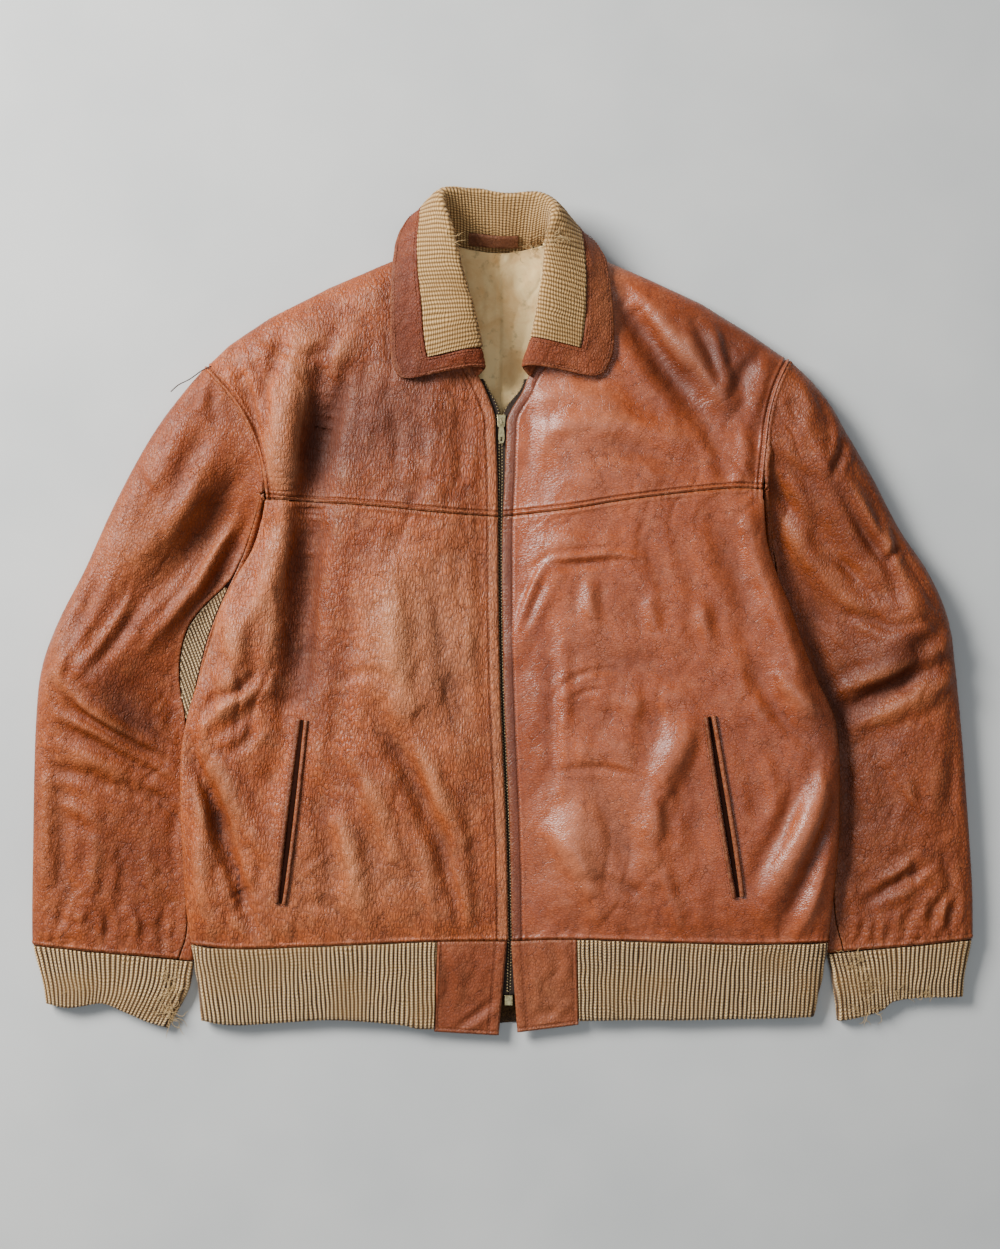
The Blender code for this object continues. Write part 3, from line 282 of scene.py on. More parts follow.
# The sleeve from the armhole seam down to the cuff: its outer and inner folds, and its height near each.
SLEEVE_RIGHT = list(starmap(SleeveSection, [
    ((-252, 206), (-199, 96.5), 29, 25),
    ((-275, 180), (-210.5, 66), 31, 9),
    ((-300, 144), (-222, 38), 30, 6),
    ((-328, 92), (-237, 6), 27),
    ((-353, 37), (-248, -24), 25),
    ((-374.5, -5), (-257, -62), 27),
    ((-389.5, -46), (-263, -94), 28),
    ((-394.7, -90), (-266, -120), 24),
    ((-396.5, -141), (-267.5, -156), 20),
    ((-397.5, -201), (-266, -214), 18),
    ((-398.2, -247), (-264, -264), 17),
    ((-398.2, -281.5), (-264.5, -296), 15, 6),
]))
SLEEVE_LEFT = list(starmap(SleeveSection, [
    ((243, 212.5), (219.5, 105), 29, 25),
    ((270, 187), (225.5, 70), 31, 9),
    ((292, 150), (229.5, 44), 30, 6),
    ((313, 114), (236, 21), 27),
    ((336, 70), (247, -8), 26),
    ((360, 34), (260, -43), 27),
    ((377, -6), (271, -70), 29),
    ((384, -56), (279, -96), 25),
    ((389, -107), (281, -129), 21),
    ((394, -175), (280.5, -188), 19),
    ((397.5, -231), (277.5, -243), 17),
    ((398.2, -276.5), (277.5, -289.5), 15, 6),
]))
# Folds of the sleeves, as (share of the way in from the outer fold, share of the way down).
SLEEVE_FOLDS_RIGHT = list(starmap(Fold, [
    ((0.85, 0.10), (0.62, 0.24), (0.35, 0.36), 0.07, -5),
    ((0.62, 0.06), (0.45, 0.18), (0.22, 0.30), 0.07, 4),
    ((0.92, 0.20), (0.72, 0.33), (0.42, 0.45), 0.07, 5),
    ((0.05, 0.50), (0.42, 0.53), (0.86, 0.60), 0.06, 9),
    ((0.30, 0.45), (0.62, 0.50), (0.90, 0.545), 0.06, -6),
]))
SLEEVE_FOLDS_LEFT = list(starmap(Fold, [
    ((0.75, 0.10), (0.55, 0.26), (0.38, 0.42), 0.06, -5),
    ((0.30, 0.08), (0.28, 0.20), (0.20, 0.34), 0.07, 4),
    ((0.55, 0.08), (0.70, 0.26), (0.74, 0.42), 0.09, 5),
    ((0.04, 0.47), (0.35, 0.53), (0.80, 0.60), 0.055, 7),
    ((0.10, 0.54), (0.42, 0.60), (0.70, 0.66), 0.07, -4),
]))
SLEEVE_TURN_Z = 11.0
SLEEVE_TURN_IN = 22.0
SLEEVE_INNER_TURN_IN = 4.0
SLEEVE_SLOPE_FROM = 0.30
# How far the sleeve stands off the armhole seam, along it and at the underarm.
ARMHOLE_STEP = 0.9
UNDERARM_STEP = 3.4
# Where the top sleeve ends and the under sleeve starts, as shares of the way in, with the gusset between.
SLEEVE_SEAM_RIGHT = list(starmap(Seam, [
    (0.00, 0.965, 0.965),
    (0.19, 0.965, 0.965),
    (0.24, 0.940, 0.965),
    (0.29, 0.880, 0.965),
    (0.36, 0.812, 0.965),
    (0.42, 0.818, 0.965),
    (0.48, 0.872, 0.965),
    (0.54, 0.940, 0.965),
    (0.62, 0.965, 0.965),
    (0.90, 0.965, 0.965),
    (1.00, 0.915, 0.915),
]))
SLEEVE_SEAM_LEFT = list(starmap(Seam, [
    (0.00, 0.965, 0.965),
    (0.19, 0.965, 0.965),
    (0.24, 0.985, 1.010),
    (0.39, 1.010, 1.085),
    (0.54, 0.985, 1.010),
    (0.62, 0.965, 0.965),
    (0.90, 0.960, 0.960),
    (1.00, 0.890, 0.890),
]))
# How far down the sleeve the gusset runs.
GUSSET_FROM, GUSSET_TO = 0.24, 0.54
SLEEVE_SEAM_GAP = 0.0036
GUSSET_GAP = 0.0045

# Each cuff carries on from the end of its sleeve. Its worn edge rises and falls along the way in.
CUFF_RIGHT = list(starmap(SleeveSection, [
    ((-397.6, -282.2), (-265.1, -296.8), 13, 8),
    ((-394, -297), (-269, -317), 12, 8),
    ((-389, -315), (-277, -333), 11, 8),
    ((-386.5, -332), (-287, -349), 9, 7),
]))
CUFF_LEFT = list(starmap(SleeveSection, [
    ((397.6, -277.4), (278.2, -290.4), 13, 8),
    ((394, -295), (283, -308), 12, 8),
    ((391, -310), (286, -326), 11, 8),
    ((390, -325), (288, -345), 9, 7),
]))
CUFF_EDGE_RIGHT = [(0, 0), (0.19, 0), (0.45, 8), (0.62, 5), (0.83, -1), (1, -3)]
CUFF_EDGE_LEFT = [(0, -1), (0.34, 5), (0.56, 6), (0.66, 0), (0.85, -2), (1, -2)]
CUFF_TURN_IN = 7.0
CUFF_FOLD_Z = 7.0

# The waistband rib: its side folds, its height in front and that of its folds, from the waist seam down.
BAND = list(starmap(Band, [
    (-263.5, 275.0, 16.5, 11),
    (-259.5, 271.5, 14, 9),
    (-256.5, 267.5, 12, 8),
    (-254.5, 263.0, 9.5, 7),
]))
BAND_TURN_IN = 14.0
BAND_EDGE = [
    (-258, -346), (-223, -349.8), (-147, -345.5), (-87, -349.8), (-57, -353),
    (65, -346.4), (168, -345.5), (266, -343),
]

# The collar, from the wearer's right front end round the back of the neck to the left front end.
COLLAR = list(starmap(CollarSection, [
    ((-21, 200, 26.5), (-16, 206, 34), (-86, 194.5, 33)),
    ((-36, 226, 29), (-20, 230, 42), (-93.5, 216, 32)),
    ((-49, 256, 30), (-27, 260, 47), (-94.0, 256, 33)),
    ((-57, 286, 29.5), (-36, 291, 50), (-92.5, 292, 31)),
    ((-59, 307, 22), (-43, 319, 49), (-86.0, 323, 22)),
    ((-47, 314, 13), (-50, 350, 40), (-69.0, 339, 9)),
    ((-26, 309, 7), (-27, 355, 31), (-31, 321, 3.5)),
    ((-2, 306.5, 7), (1, 351, 28), (1, 315, 3.5)),
    ((22, 309, 7), (29, 351, 33), (33, 319, 3.5)),
    ((40, 316, 14), (43, 337, 44), (66, 322, 10)),
    ((49, 305, 23), (37, 311, 50), (86, 301, 24)),
    ((48, 276, 29.5), (35, 281, 49), (91.5, 264, 32)),
    ((39, 238, 29), (28, 241, 43), (93.5, 225, 32)),
    ((23, 200, 26.5), (18, 207, 34), (84, 196.5, 33)),
]))
COLLAR_STAND_SHARE = 0.36
COLLAR_STOPS = (0, 0.17, COLLAR_STAND_SHARE, 0.48, 0.73, 1)
COLLAR_BACK_HALF = 0.08
COLLAR_TIP_X = 16
COLLAR_BORDER_SHARE = 0.76
COLLAR_BORDER_ENDS = 0.055
# The collar's tips are rounded: how far the rounding reaches along the collar and up from its edge.
COLLAR_TIP_ALONG, COLLAR_TIP_UP = 0.024, 0.14
COLLAR_CLEAR = 2.6

# The tabs at the front of the waist: where they start and end along the waist seam, and their lower corners.
TAB_RIGHT = Tab(-55.0, 2.4, (-58.2, -355.0), (-3.2, -358.2))
TAB_LEFT = Tab(8.6, 62.8, (12.6, -355.8), (64.8, -349.0))
TAB_LOW_Z = 8.5
# The tabs lie down from the waist seam to their lower edge over this much of Y.
TAB_FOOT_Y, TAB_FALL = -356.0, 78.0
WAIST_Y = -279.0
WAIST_GAP = 0.8

# Pocket mouths: the top and bottom ends of the slit, which lies between two welts on a facing.
POCKETS = {"right": Pocket((-168.5, -90), (-187.5, -245)), "left": Pocket((174.5, -87), (199.0, -239.5))}
SLIT_HALF = 1.3
WELT_WIDTH = 3.7
WELT = 1.4
FACING = 0.5
PANEL_GAP = 0.6

# The zip: its tapes run under the front edges and part above the slider.
ZIP_TOP, ZIP_PARTS_AT, ZIP_OPEN_OVER, ZIP_BOTTOM = 198.5, 152.0, 40.0, -324.5
TAPE_UNDER_EDGE = 8.0
TAPE_SHOWS = 3.0
TAPE_SLOT = 0.25
TAPE_DROP = 1.6
SLIDER_AT = (-0.9, 162.0)

# The lining seen in the neck, and the hanger loop on the collar's stand, in shares of the collar.
LINING_FOOT = [(-70, 120), (66, 120)]
LINING_LIFT = 1.5
LINING_RISE = 1.6
LINING_RISE_FROM, LINING_RISE_OVER = 270, 30
LOOP_FROM, LOOP_TO = 0.452, 0.582
LOOP_LOW, LOOP_HIGH = 0.035, 0.100
LOOP_ARCH = 3.5


def evenly(count):
    """Even shares of the way, from 0 to 1."""
    return np.linspace(0, 1, count)


def between(a, b, c, d, t):
    """The smooth way from b to c, which also heeds the points before and after them."""
    return b + 0.5 * ((c - a) * t + (2 * a - 5 * b + 4 * c - d) * t**2 + (3 * b - a - 3 * c + d) * t**3)


def spline(knots, samples):
    """Close points on a smooth line through a few."""
    knots = np.array(knots, float)
    ends = np.vstack([2 * knots[0] - knots[1], knots, 2 * knots[-1] - knots[-2]])
    t = np.linspace(0, 1, samples, endpoint=False)[:, None]
    pieces = [between(*four, t) for four in zip(ends, ends[1:], ends[2:], ends[3:])]
    return np.vstack([*pieces, knots[-1:]])


def smooth(points):
    """A curve through the points, as a function of its even share of the way along."""
    line = spline(points, 40)
    steps = np.linalg.norm(np.diff(line, axis=0), axis=1)
    along = np.concatenate([[0], np.cumsum(steps)]) / steps.sum()
    return lambda share: np.stack([np.interp(share, along, column) for column in line.T], axis=-1)


def by_row(rows):
    """The rows' numbers, smoothed from row to row, as a function of the share of the rows passed."""
    line = spline(rows, 24)
    share = evenly(len(line))
    return lambda at: np.stack([np.interp(at, share, column) for column in line.T], axis=-1)


def profile(places, values):
    """A smooth number along the garment, from its values at a few places in rising order."""
    line = smooth(list(zip(places, values)))(evenly(400))
    return lambda place: np.interp(place, line[:, 0], line[:, 1])


def bell(distance, reach):
    """1 at no distance, falling smoothly to almost nothing at twice the reach."""
    return np.exp(-((distance / reach) ** 2))


def unit(vectors):
    """Each vector at length one."""
    return vectors / np.maximum(np.linalg.norm(vectors, axis=-1, keepdims=True), 1e-9)


def ramp(value):
    """0 below 0, 1 above 1, and a smooth rise between."""
    value = np.clip(value, 0, 1)
    return value * value * (3 - 2 * value)


def turn(inward, reach):
    """How far the cloth has turned from a folded edge to lying flat, as a quarter of an ellipse."""
    share = np.clip(inward / reach, 0, 1)
    return np.sqrt(share * (2 - share))


def fold_height(x, y, folds):
    """The ridges and troughs of the cloth, each fading out at its ends."""
    total = np.zeros(np.shape(x))
    for fold in folds:
        line = smooth([fold.start, fold.middle, fold.end])(evenly(25))
        away = np.hypot(x[..., None] - line[:, 0], y[..., None] - line[:, 1])
        nearest = away.argmin(axis=-1)
        share = nearest / (len(line) - 1)
        fade = np.sin(np.pi * (0.12 + 0.76 * share)) ** 0.8
        total = total + fold.height * fade * bell(away.min(axis=-1), fold.half_width)
    return total


def smooth_columns(rows):
    """Every later column of a table as a smooth number along its first one."""
    places, *columns = zip(*rows)
    return [profile(places, values) for values in columns]


right_side, left_side = smooth_columns(SIDES)
right_front_edge, left_front_edge = smooth_columns(FRONT_EDGES)
side_loft, panel_loft, centre_loft, side_fold = smooth_columns(LOFTS)


def below_shoulder(x, y):
    """How far a point lies in from the shoulder folds, square to them."""
    points = SHOULDER_RIGHT + SHOULDER_LEFT[::-1]
    line = np.array(points, float)
    fall = 0.87
    return (np.interp(x, line[:, 0], line[:, 1]) - y) * fall


def in_from_side(x, y):
    """How far a point lies in from the side fold, or above it from the underarm."""
    inward = np.where(x < 0, x - right_side(y), left_side(y) - x)
    return np.where(y <= UNDERARM, inward, np.hypot(inward, y - UNDERARM))


def from_nearest(x, y, points):
    """How far each place lies from the nearest of some points."""
    away = np.full(np.shape(x), 1e6)
    for px, py in points:
        away = np.minimum(away, np.hypot(x - px, y - py))
    return away


def in_from_armhole(x, y):
    """How far a point lies from the nearer armhole seam."""
    seams = [smooth(seam)(evenly(30)) for seam in (ARMHOLE_RIGHT, ARMHOLE_LEFT)]
    return from_nearest(x, y, np.vstack(seams))


def at_folds(x, y):
    """The height of the folds that a point lies in from, and how far the cloth has turned to lying flat."""
    height = side_fold(y) + (SHOULDER_TURN_Z - side_fold(y)) * ramp((y - UNDERARM) / 100)
    return height, turn(in_from_side(x, y), SIDE_TURN_IN) * turn(below_shoulder(x, y), SHOULDER_TURN_IN)


def body_top(x, y):
    """Height of the inside of the front above the ground."""
    x, y = np.asarray(x, float), np.asarray(y, float)
    middle = (right_front_edge(y) + left_front_edge(y)) / 2
    out = ramp(np.abs(x - middle) / CENTRE_VALLEY)
    side = ramp((np.abs(x - middle) - CENTRE_VALLEY) / 150)
    loft = centre_loft(y) + (panel_loft(y) - centre_loft(y)) * out + (side_loft(y) - panel_loft(y)) * side
    clear = ramp(in_from_armhole(x, y) / SEAM_FLAT) * ramp((y - WAIST_Y) / SEAM_FLAT)
    loft = loft + fold_height(x, y, FRONT_FOLDS) * clear
    fold, flat = at_folds(x, y)
    edge = fold + SEAM_GAP / 2
    return edge + (loft - edge) * flat


def body_under(x, y):
    """Height of the inside of the back above the ground."""
    fold, flat = at_folds(np.asarray(x, float), np.asarray(y, float))
    edge = fold - SEAM_GAP / 2
    return edge + (LEATHER - edge) * flat


def four_sided(bottom, top, start, end):
    """The plan of a piece between four edge curves: u runs along the bottom, and v up the start."""
    corners = bottom(0.0), bottom(1.0), top(0.0), top(1.0)

    def place(u, v):
        across, up = u[..., None], v[..., None]
        sides = (1 - up) * bottom(u) + up * top(u) + (1 - across) * start(v) + across * end(v)
        straight = (1 - up) * ((1 - across) * corners[0] + across * corners[1])
        straight = straight + up * ((1 - across) * corners[2] + across * corners[3])
        return sides - straight

    return place


def part_of(curve, first, last):
    return lambda share: curve(first + (last - first) * np.asarray(share))


def edge_by_y(side, low, high):
    """The edge given by side(y) between two heights, as a curve."""

    def place(share):
        y = low + (high - low) * np.asarray(share, float)
        return np.stack([side(y), y], axis=-1)

    return place


def on_surface(plan, height, shift=(0, 0)):
    """A piece's surface from its plan and a height function."""

    def place(u, v):
        flat = plan(u, v) + np.array(shift)
        return np.concatenate([flat, height(flat[..., 0], flat[..., 1])[..., None]], axis=-1)

    return place


def share_at_x(curve, x):
    """How far along a curve its x reaches a value."""
    share = evenly(2001)
    return float(share[np.abs(curve(share)[:, 0] - x).argmin()])


def ease_end(share):
    return np.sin(share * math.pi / 2)


def by_weight(share, weight):
    """Rows spaced more closely where the weight is greater."""
    passed = np.concatenate([[0], np.cumsum(weight[1:] + weight[:-1])])
    return lambda even: np.interp(even, passed / passed[-1], share)


def crowd(*places, tightness=5, reach=0.05):
    """Rows spaced more closely near some shares of the way."""
    share = evenly(2001)
    return by_weight(share, 1 + tightness * sum(bell(share - place, reach) for place in places))


def shares(*stops):
    """Rows at set shares of the way, evenly numbered."""
    return lambda even: np.interp(even, evenly(len(stops)), stops)


def sleeve_ring(sections, turn_z, turn_in, wall, folds=(), armhole=None, outward=-1):
    """The inside of a flattened tube.

    round_it runs from 0 at the outer fold over the top to 1 at the inner fold, and on underneath to 2 at the
    outer fold again. down runs along the tube. At its top a sleeve takes the shape of the body's armhole.
    """
    rows = by_row([(*row.outer, *row.inner, row.crown, row.inner_height) for row in sections])

    def place(round_it, down):
        values = rows(down)
        outer, inner, crown, inner_height = values[..., :2], values[..., 2:4], values[..., 4], values[..., 5]
        over = round_it <= 1
        across = np.where(over, round_it, 2 - round_it)
        flat = outer + (inner - outer) * across[..., None]
        width = np.linalg.norm(inner - outer, axis=-1)
        slope = ramp((across - SLEEVE_SLOPE_FROM) / (0.97 - SLEEVE_SLOPE_FROM))
        high = crown + (inner_height - crown) * slope
        if folds:
            high = high + fold_height(across, down, folds) * ramp((1 - across) / 0.2)
        inner_turn = turn((1 - across) * width, SLEEVE_INNER_TURN_IN)
        fold_at = turn_z + ((inner_height + wall) / 2 - turn_z) * ramp((across - 0.4) / 0.4)
        fold_at = fold_at + np.where(over, SEAM_GAP / 2, -SEAM_GAP / 2)
        height = fold_at + (np.where(over, high, wall) - fold_at) * turn(across * width, turn_in) * inner_turn
        if armhole is not None:
            seam = armhole(1 - across)
            joined = 1 - ramp(down / 0.13)
            step = outward * (ARMHOLE_STEP + (UNDERARM_STEP - ARMHOLE_STEP) * ramp((across - 0.8) / 0.2))
            shifted = seam + np.stack([step, 0 * step], axis=-1)
            flat = flat + (shifted - flat) * joined[..., None]
            top, under = body_top(seam[..., 0], seam[..., 1]), body_under(seam[..., 0], seam[..., 1])
            height = height + (np.where(over, top, under) - height) * (1 - ramp(down / 0.15))
        return np.concatenate([flat, height[..., None]], axis=-1)

    return place


def stretch(place, low, high, first=0.0, last=1.0):
    """The part of a surface from low to high in u, which may change with v, and from first to last in v."""

    def part(u, v):
        down = first + (last - first) * v
        start, end = (edge(down) if callable(edge) else edge for edge in (low, high))
        return place(start + (end - start) * u, down)

    return part


def thread(stops, shares_at, s):
    """A smooth line through the stops, which it passes at the given shares of the way."""
    at = np.array(shares_at)
    knots = np.array([2 * stops[0] - stops[1], *stops, 2 * stops[-1] - stops[-2]])
    step = np.clip(np.searchsorted(at, s, side="right") - 1, 0, len(at) - 2)
    share = ((s - at[step]) / (at[step + 1] - at[step]))[..., None]
    four = (np.take_along_axis(knots, (step + k)[None, ..., None], axis=0)[0] for k in range(4))
    return between(*four, share)


def round_tips(t, s):
    """The share of the way to the collar's edge, which draws in to an arc at the two tips."""
    near = np.clip(1 - np.minimum(t, 1 - t) / COLLAR_TIP_ALONG, 0, 1)
    reach = 1 - COLLAR_TIP_UP * (1 - np.sqrt(1 - near**2)) / (1 - COLLAR_BORDER_SHARE)
    return np.where(s > COLLAR_BORDER_SHARE, COLLAR_BORDER_SHARE + (s - COLLAR_BORDER_SHARE) * reach, s)


def collar_ribbon(t, s):
    """The middle of the collar's thickness: s runs from the neck seam over the roll to the edge."""
    s = round_tips(t, s)
    values = by_row([(*row.neck, *row.roll, *row.edge) for row in COLLAR])(t)
    neck, roll, edge = values[..., :3], values[..., 3:6], values[..., 6:]
    fall, rise = edge - roll, roll - neck
    along = unit(fall)
    bulge = unit(rise - (rise * along).sum(axis=-1, keepdims=True) * along)
    stops = [neck, neck + 0.55 * rise - 1.5 * bulge, roll, roll + 0.17 * fall + 4.0 * bulge]
    stops += [roll + 0.55 * fall + 3.0 * bulge, edge]
    place = thread(stops, COLLAR_STOPS, s)
    x, y = place[..., 0], place[..., 1]
    leaf = (s > COLLAR_STAND_SHARE) & (np.abs(t - 0.5) > COLLAR_BACK_HALF)
    leaf &= (np.abs(x) > COLLAR_TIP_X) | (t > 0.5)
    over_front = ramp((below_shoulder(x, y) + 2) / 6)
    least = (body_top(x, y) + LEATHER + COLLAR_CLEAR) * over_front
    place[..., 2] = np.where(leaf & (over_front > 0), np.maximum(place[..., 2], least), place[..., 2])
    return place


def moved(surface, by):
    """A surface moved off along its own normal, to the side that faces up or out of the fold."""

    def place(u, v):
        step = 1e-4
        here = surface(u, v)
        along_u = surface(np.clip(u + step, 0, 1), v) - surface(np.clip(u - step, 0, 1), v)
        along_v = surface(u, np.clip(v + step, 0, 1)) - surface(u, np.clip(v - step, 0, 1))
        return here + by * unit(np.cross(along_u, along_v))

    return place


def zip_level(y):
    """Height of the front edges beside the zip, down over the tabs."""
    on_tab = TAB_LOW_Z + (centre_loft(WAIST_Y) - TAB_LOW_Z) * ramp((y - TAB_FOOT_Y) / TAB_FALL)
    return np.where(y > WAIST_Y, centre_loft(y), on_tab)


def zip_edges(y):
    """The two front edges beside the zip, down to the end of the tabs."""
    share = np.clip((WAIST_Y - y) / (WAIST_Y - TAB_FOOT_Y), 0, 1)
    right = right_front_edge(y) + (TAB_RIGHT.low_end[0] - right_front_edge(y)) * share
    left = left_front_edge(y) + (TAB_LEFT.low_start[0] - left_front_edge(y)) * share
    return right, left


# ---- the cloth's relief, in millimetres

Crease = namedtuple("Crease", "half_width height line")


def creases(rows):
    """Creases from rows of half width, height, and then the x and y of each point along them."""
    return [Crease(*row[:2], list(zip(row[2::2], row[3::2]))) for row in rows]


# The softer creases. A half width is measured across the crease, and a negative height is a trough.
BODY_CREASES = creases([
    (12, -3.4, -135, 200, -150, 156, -158, 103), (14, -3.6, -162, 92, -164, 46, -167, -22, -176, -95),
    (11, 2.2, -162, 245, -179, 186, -186, 139, -187, 98), (11, 1.6, -187, 84, -192, 28, -204, -31),
    (4, -1.3, -227, 222, -213, 182, -204, 137), (4, -1.1, -213, 228, -199, 182, -192, 142),
    (3.5, 0.9, -238, 216, -223, 177, -210, 135), (5, -1.2, -204, 234, -172, 216, -147, 222),
    (4.5, -1.3, -185, 241, -193, 205, -204, 180), (6, 1.6, -128, 241, -140, 205, -147, 164),
    (6, -1.0, -111, 228, -119, 182, -128, 122), (6, -0.8, -94, 186, -89, 148, -89, 103),
    (7, 0.9, -62, 182, -56, 139, -60, 96), (6, -0.8, -34, 186, -34, 148, -38, 96),
    (6, -2.2, -199, 78, -218, 49, -238, 13), (8, 1.8, -181, 71, -204, 20, -226, -31),
    (6, 1.4, -215, 80, -233, 56, -252, 20), (6, -1.4, -242, 3, -247, -31, -257, -65),
    (9, 2.0, -230, -1, -225, -40, -233, -78),
    (6, -3.0, -266, -109, -250, -150, -235, -194, -223, -231, -210, -271),
    (8, 1.7, -254, -103, -230, -150, -204, -201), (7, 2.2, -255, -97, -232, -80, -203, -62),
    (7, 1.8, -260, -118, -255, -158, -257, -210, -250, -265), (4, -1.3, -247, -74, -223, -65, -204, -46),
    (4.5, -1.3, -233, -118, -218, -109, -204, -92), (9, -1.4, -128, 46, -133, -31, -143, -120),
    (8, 1.6, -153, 50, -157, -22, -165, -74), (10, 1.6, -94, 46, -89, -22, -84, -78),
    (7, -1.2, -62, 58, -53, -14, -41, -86), (7, 0.9, -29, 46, -28, -22, -21, -90),
    (8, -2.0, -102, -86, -79, -133, -60, -177, -43, -216), (9, 1.7, -128, -112, -106, -158, -89, -210),
    (7, 1.4, -77, -99, -53, -150, -31, -201), (5, -2.2, -55, -184, -45, -226, -34, -271),
    (5, 1.3, -70, -188, -62, -231, -56, -271), (5, -0.9, -28, -158, -22, -218, -17, -269),
    (8, -1.3, -157, -150, -147, -201, -142, -256), (7, 1.4, -134, -176, -123, -218, -116, -269),
    (5, -1.0, -172, -244, -147, -248, -128, -265), (4, -0.6, -111, 3, -94, 10, -70, 3),
    (4.5, -0.7, -138, -56, -111, -50, -83, -65), (20, 0.9, -91, 20, -96, -22, -90, -74),
    (11, 1.1, -130, -158, -128, -210, -124, -252), (9, -2.0, 93, 265, 130, 217, 168, 161),
    (8, 1.8, 117, 266, 154, 224, 190, 180), (4.5, -1.7, 159, 251, 171, 222, 187, 188),
    (4, 1.1, 175, 253, 182, 224, 188, 192), (5, -1.3, 219, 222, 204, 205, 193, 180),
    (6, 1.3, 227, 214, 216, 188, 207, 156), (8, 1.4, 28, 180, 74, 183, 117, 173),
    (10, 1.6, 32, 154, 83, 164, 151, 148), (9, -0.9, 49, 122, 100, 137, 159, 125),
    (6, -1.0, 18, 192, 25, 158, 20, 115), (6, -1.0, 168, 164, 182, 134, 185, 107),
    (6, 1.2, 198, 164, 204, 134, 200, 107), (2.8, 1.9, 9, -21, 17, -2, 25, 18, 34, 38),
    (2.8, 1.3, 32, 34, 43, 45, 66, 48, 93, 50, 119, 47), (4.2, -1.5, 17, -16, 24, 2, 33, 20, 40, 31),
    (3.2, -0.8, 44, 38, 68, 41, 93, 43), (5, 1.1, 50, -11, 51, -56, 51, -108, 50, -154),
    (7, -0.9, 42, -22, 43, -74, 43, -137), (2.6, -1.0, 52, -58, 74, -49, 97, -47),
    (2.4, -0.6, 54, -73, 74, -65, 93, -64), (9, 0.9, 32, 54, 66, 60, 100, 56),
    (6, 1.8, 74, 28, 73, 12, 76, -7), (6, 1.5, 125, 15, 125, 0, 129, -16),
    (6, 1.5, 170, 10, 170, -7, 175, -24), (3.0, -0.9, 49, -133, 83, -130, 119, -138),
    (9, 0.8, 46, -120, 83, -116, 120, -124), (5, -1.0, 119, -138, 134, -158, 141, -192),
    (9, -0.8, 49, -22, 100, -40, 159, -35), (10, 0.9, 66, -65, 117, -74, 168, -65),
    (9, 1.3, 32, -176, 66, -210, 83, -265), (9, -1.2, 83, -150, 104, -201, 117, -265),
    (5, -0.9, 49, -226, 83, -226, 125, -239), (6, 1.1, 130, -201, 142, -239, 151, -269),
    (8, 1.1, 168, -89, 148, -118, 134, -152, 125, -201), (12, -0.8, 185, -124, 168, -158, 159, -210),
    (9, 2.0, 278, -131, 253, -184, 221, -245), (8, -1.0, 263, -128, 239, -176, 212, -218),
    (6, -1.4, 284, -158, 261, -211, 239, -265), (6, 1.7, 280, -201, 266, -237, 251, -269),
    (8, -1.7, 221, 95, 241, 46, 258, -6, 275, -56), (9, 1.8, 205, 86, 224, 28, 241, -22, 253, -74),
    (8, -1.0, 182, 80, 198, 28, 209, -31), (8, 1.0, 159, 80, 168, 46, 182, 12),
    (6, 1.3, 217, -22, 244, -65, 275, -90), (6, -1.2, 206, -40, 232, -84, 263, -114),
    (15, 1.3, 68, -142, 62, -184, 69, -235), (10, 0.8, 114, -65, 107, -99, 100, -142),
    (7, 1.0, 216, -112, 229, -150, 226, -192), (7, -0.8, 117, 80, 125, 49, 137, 20),
])
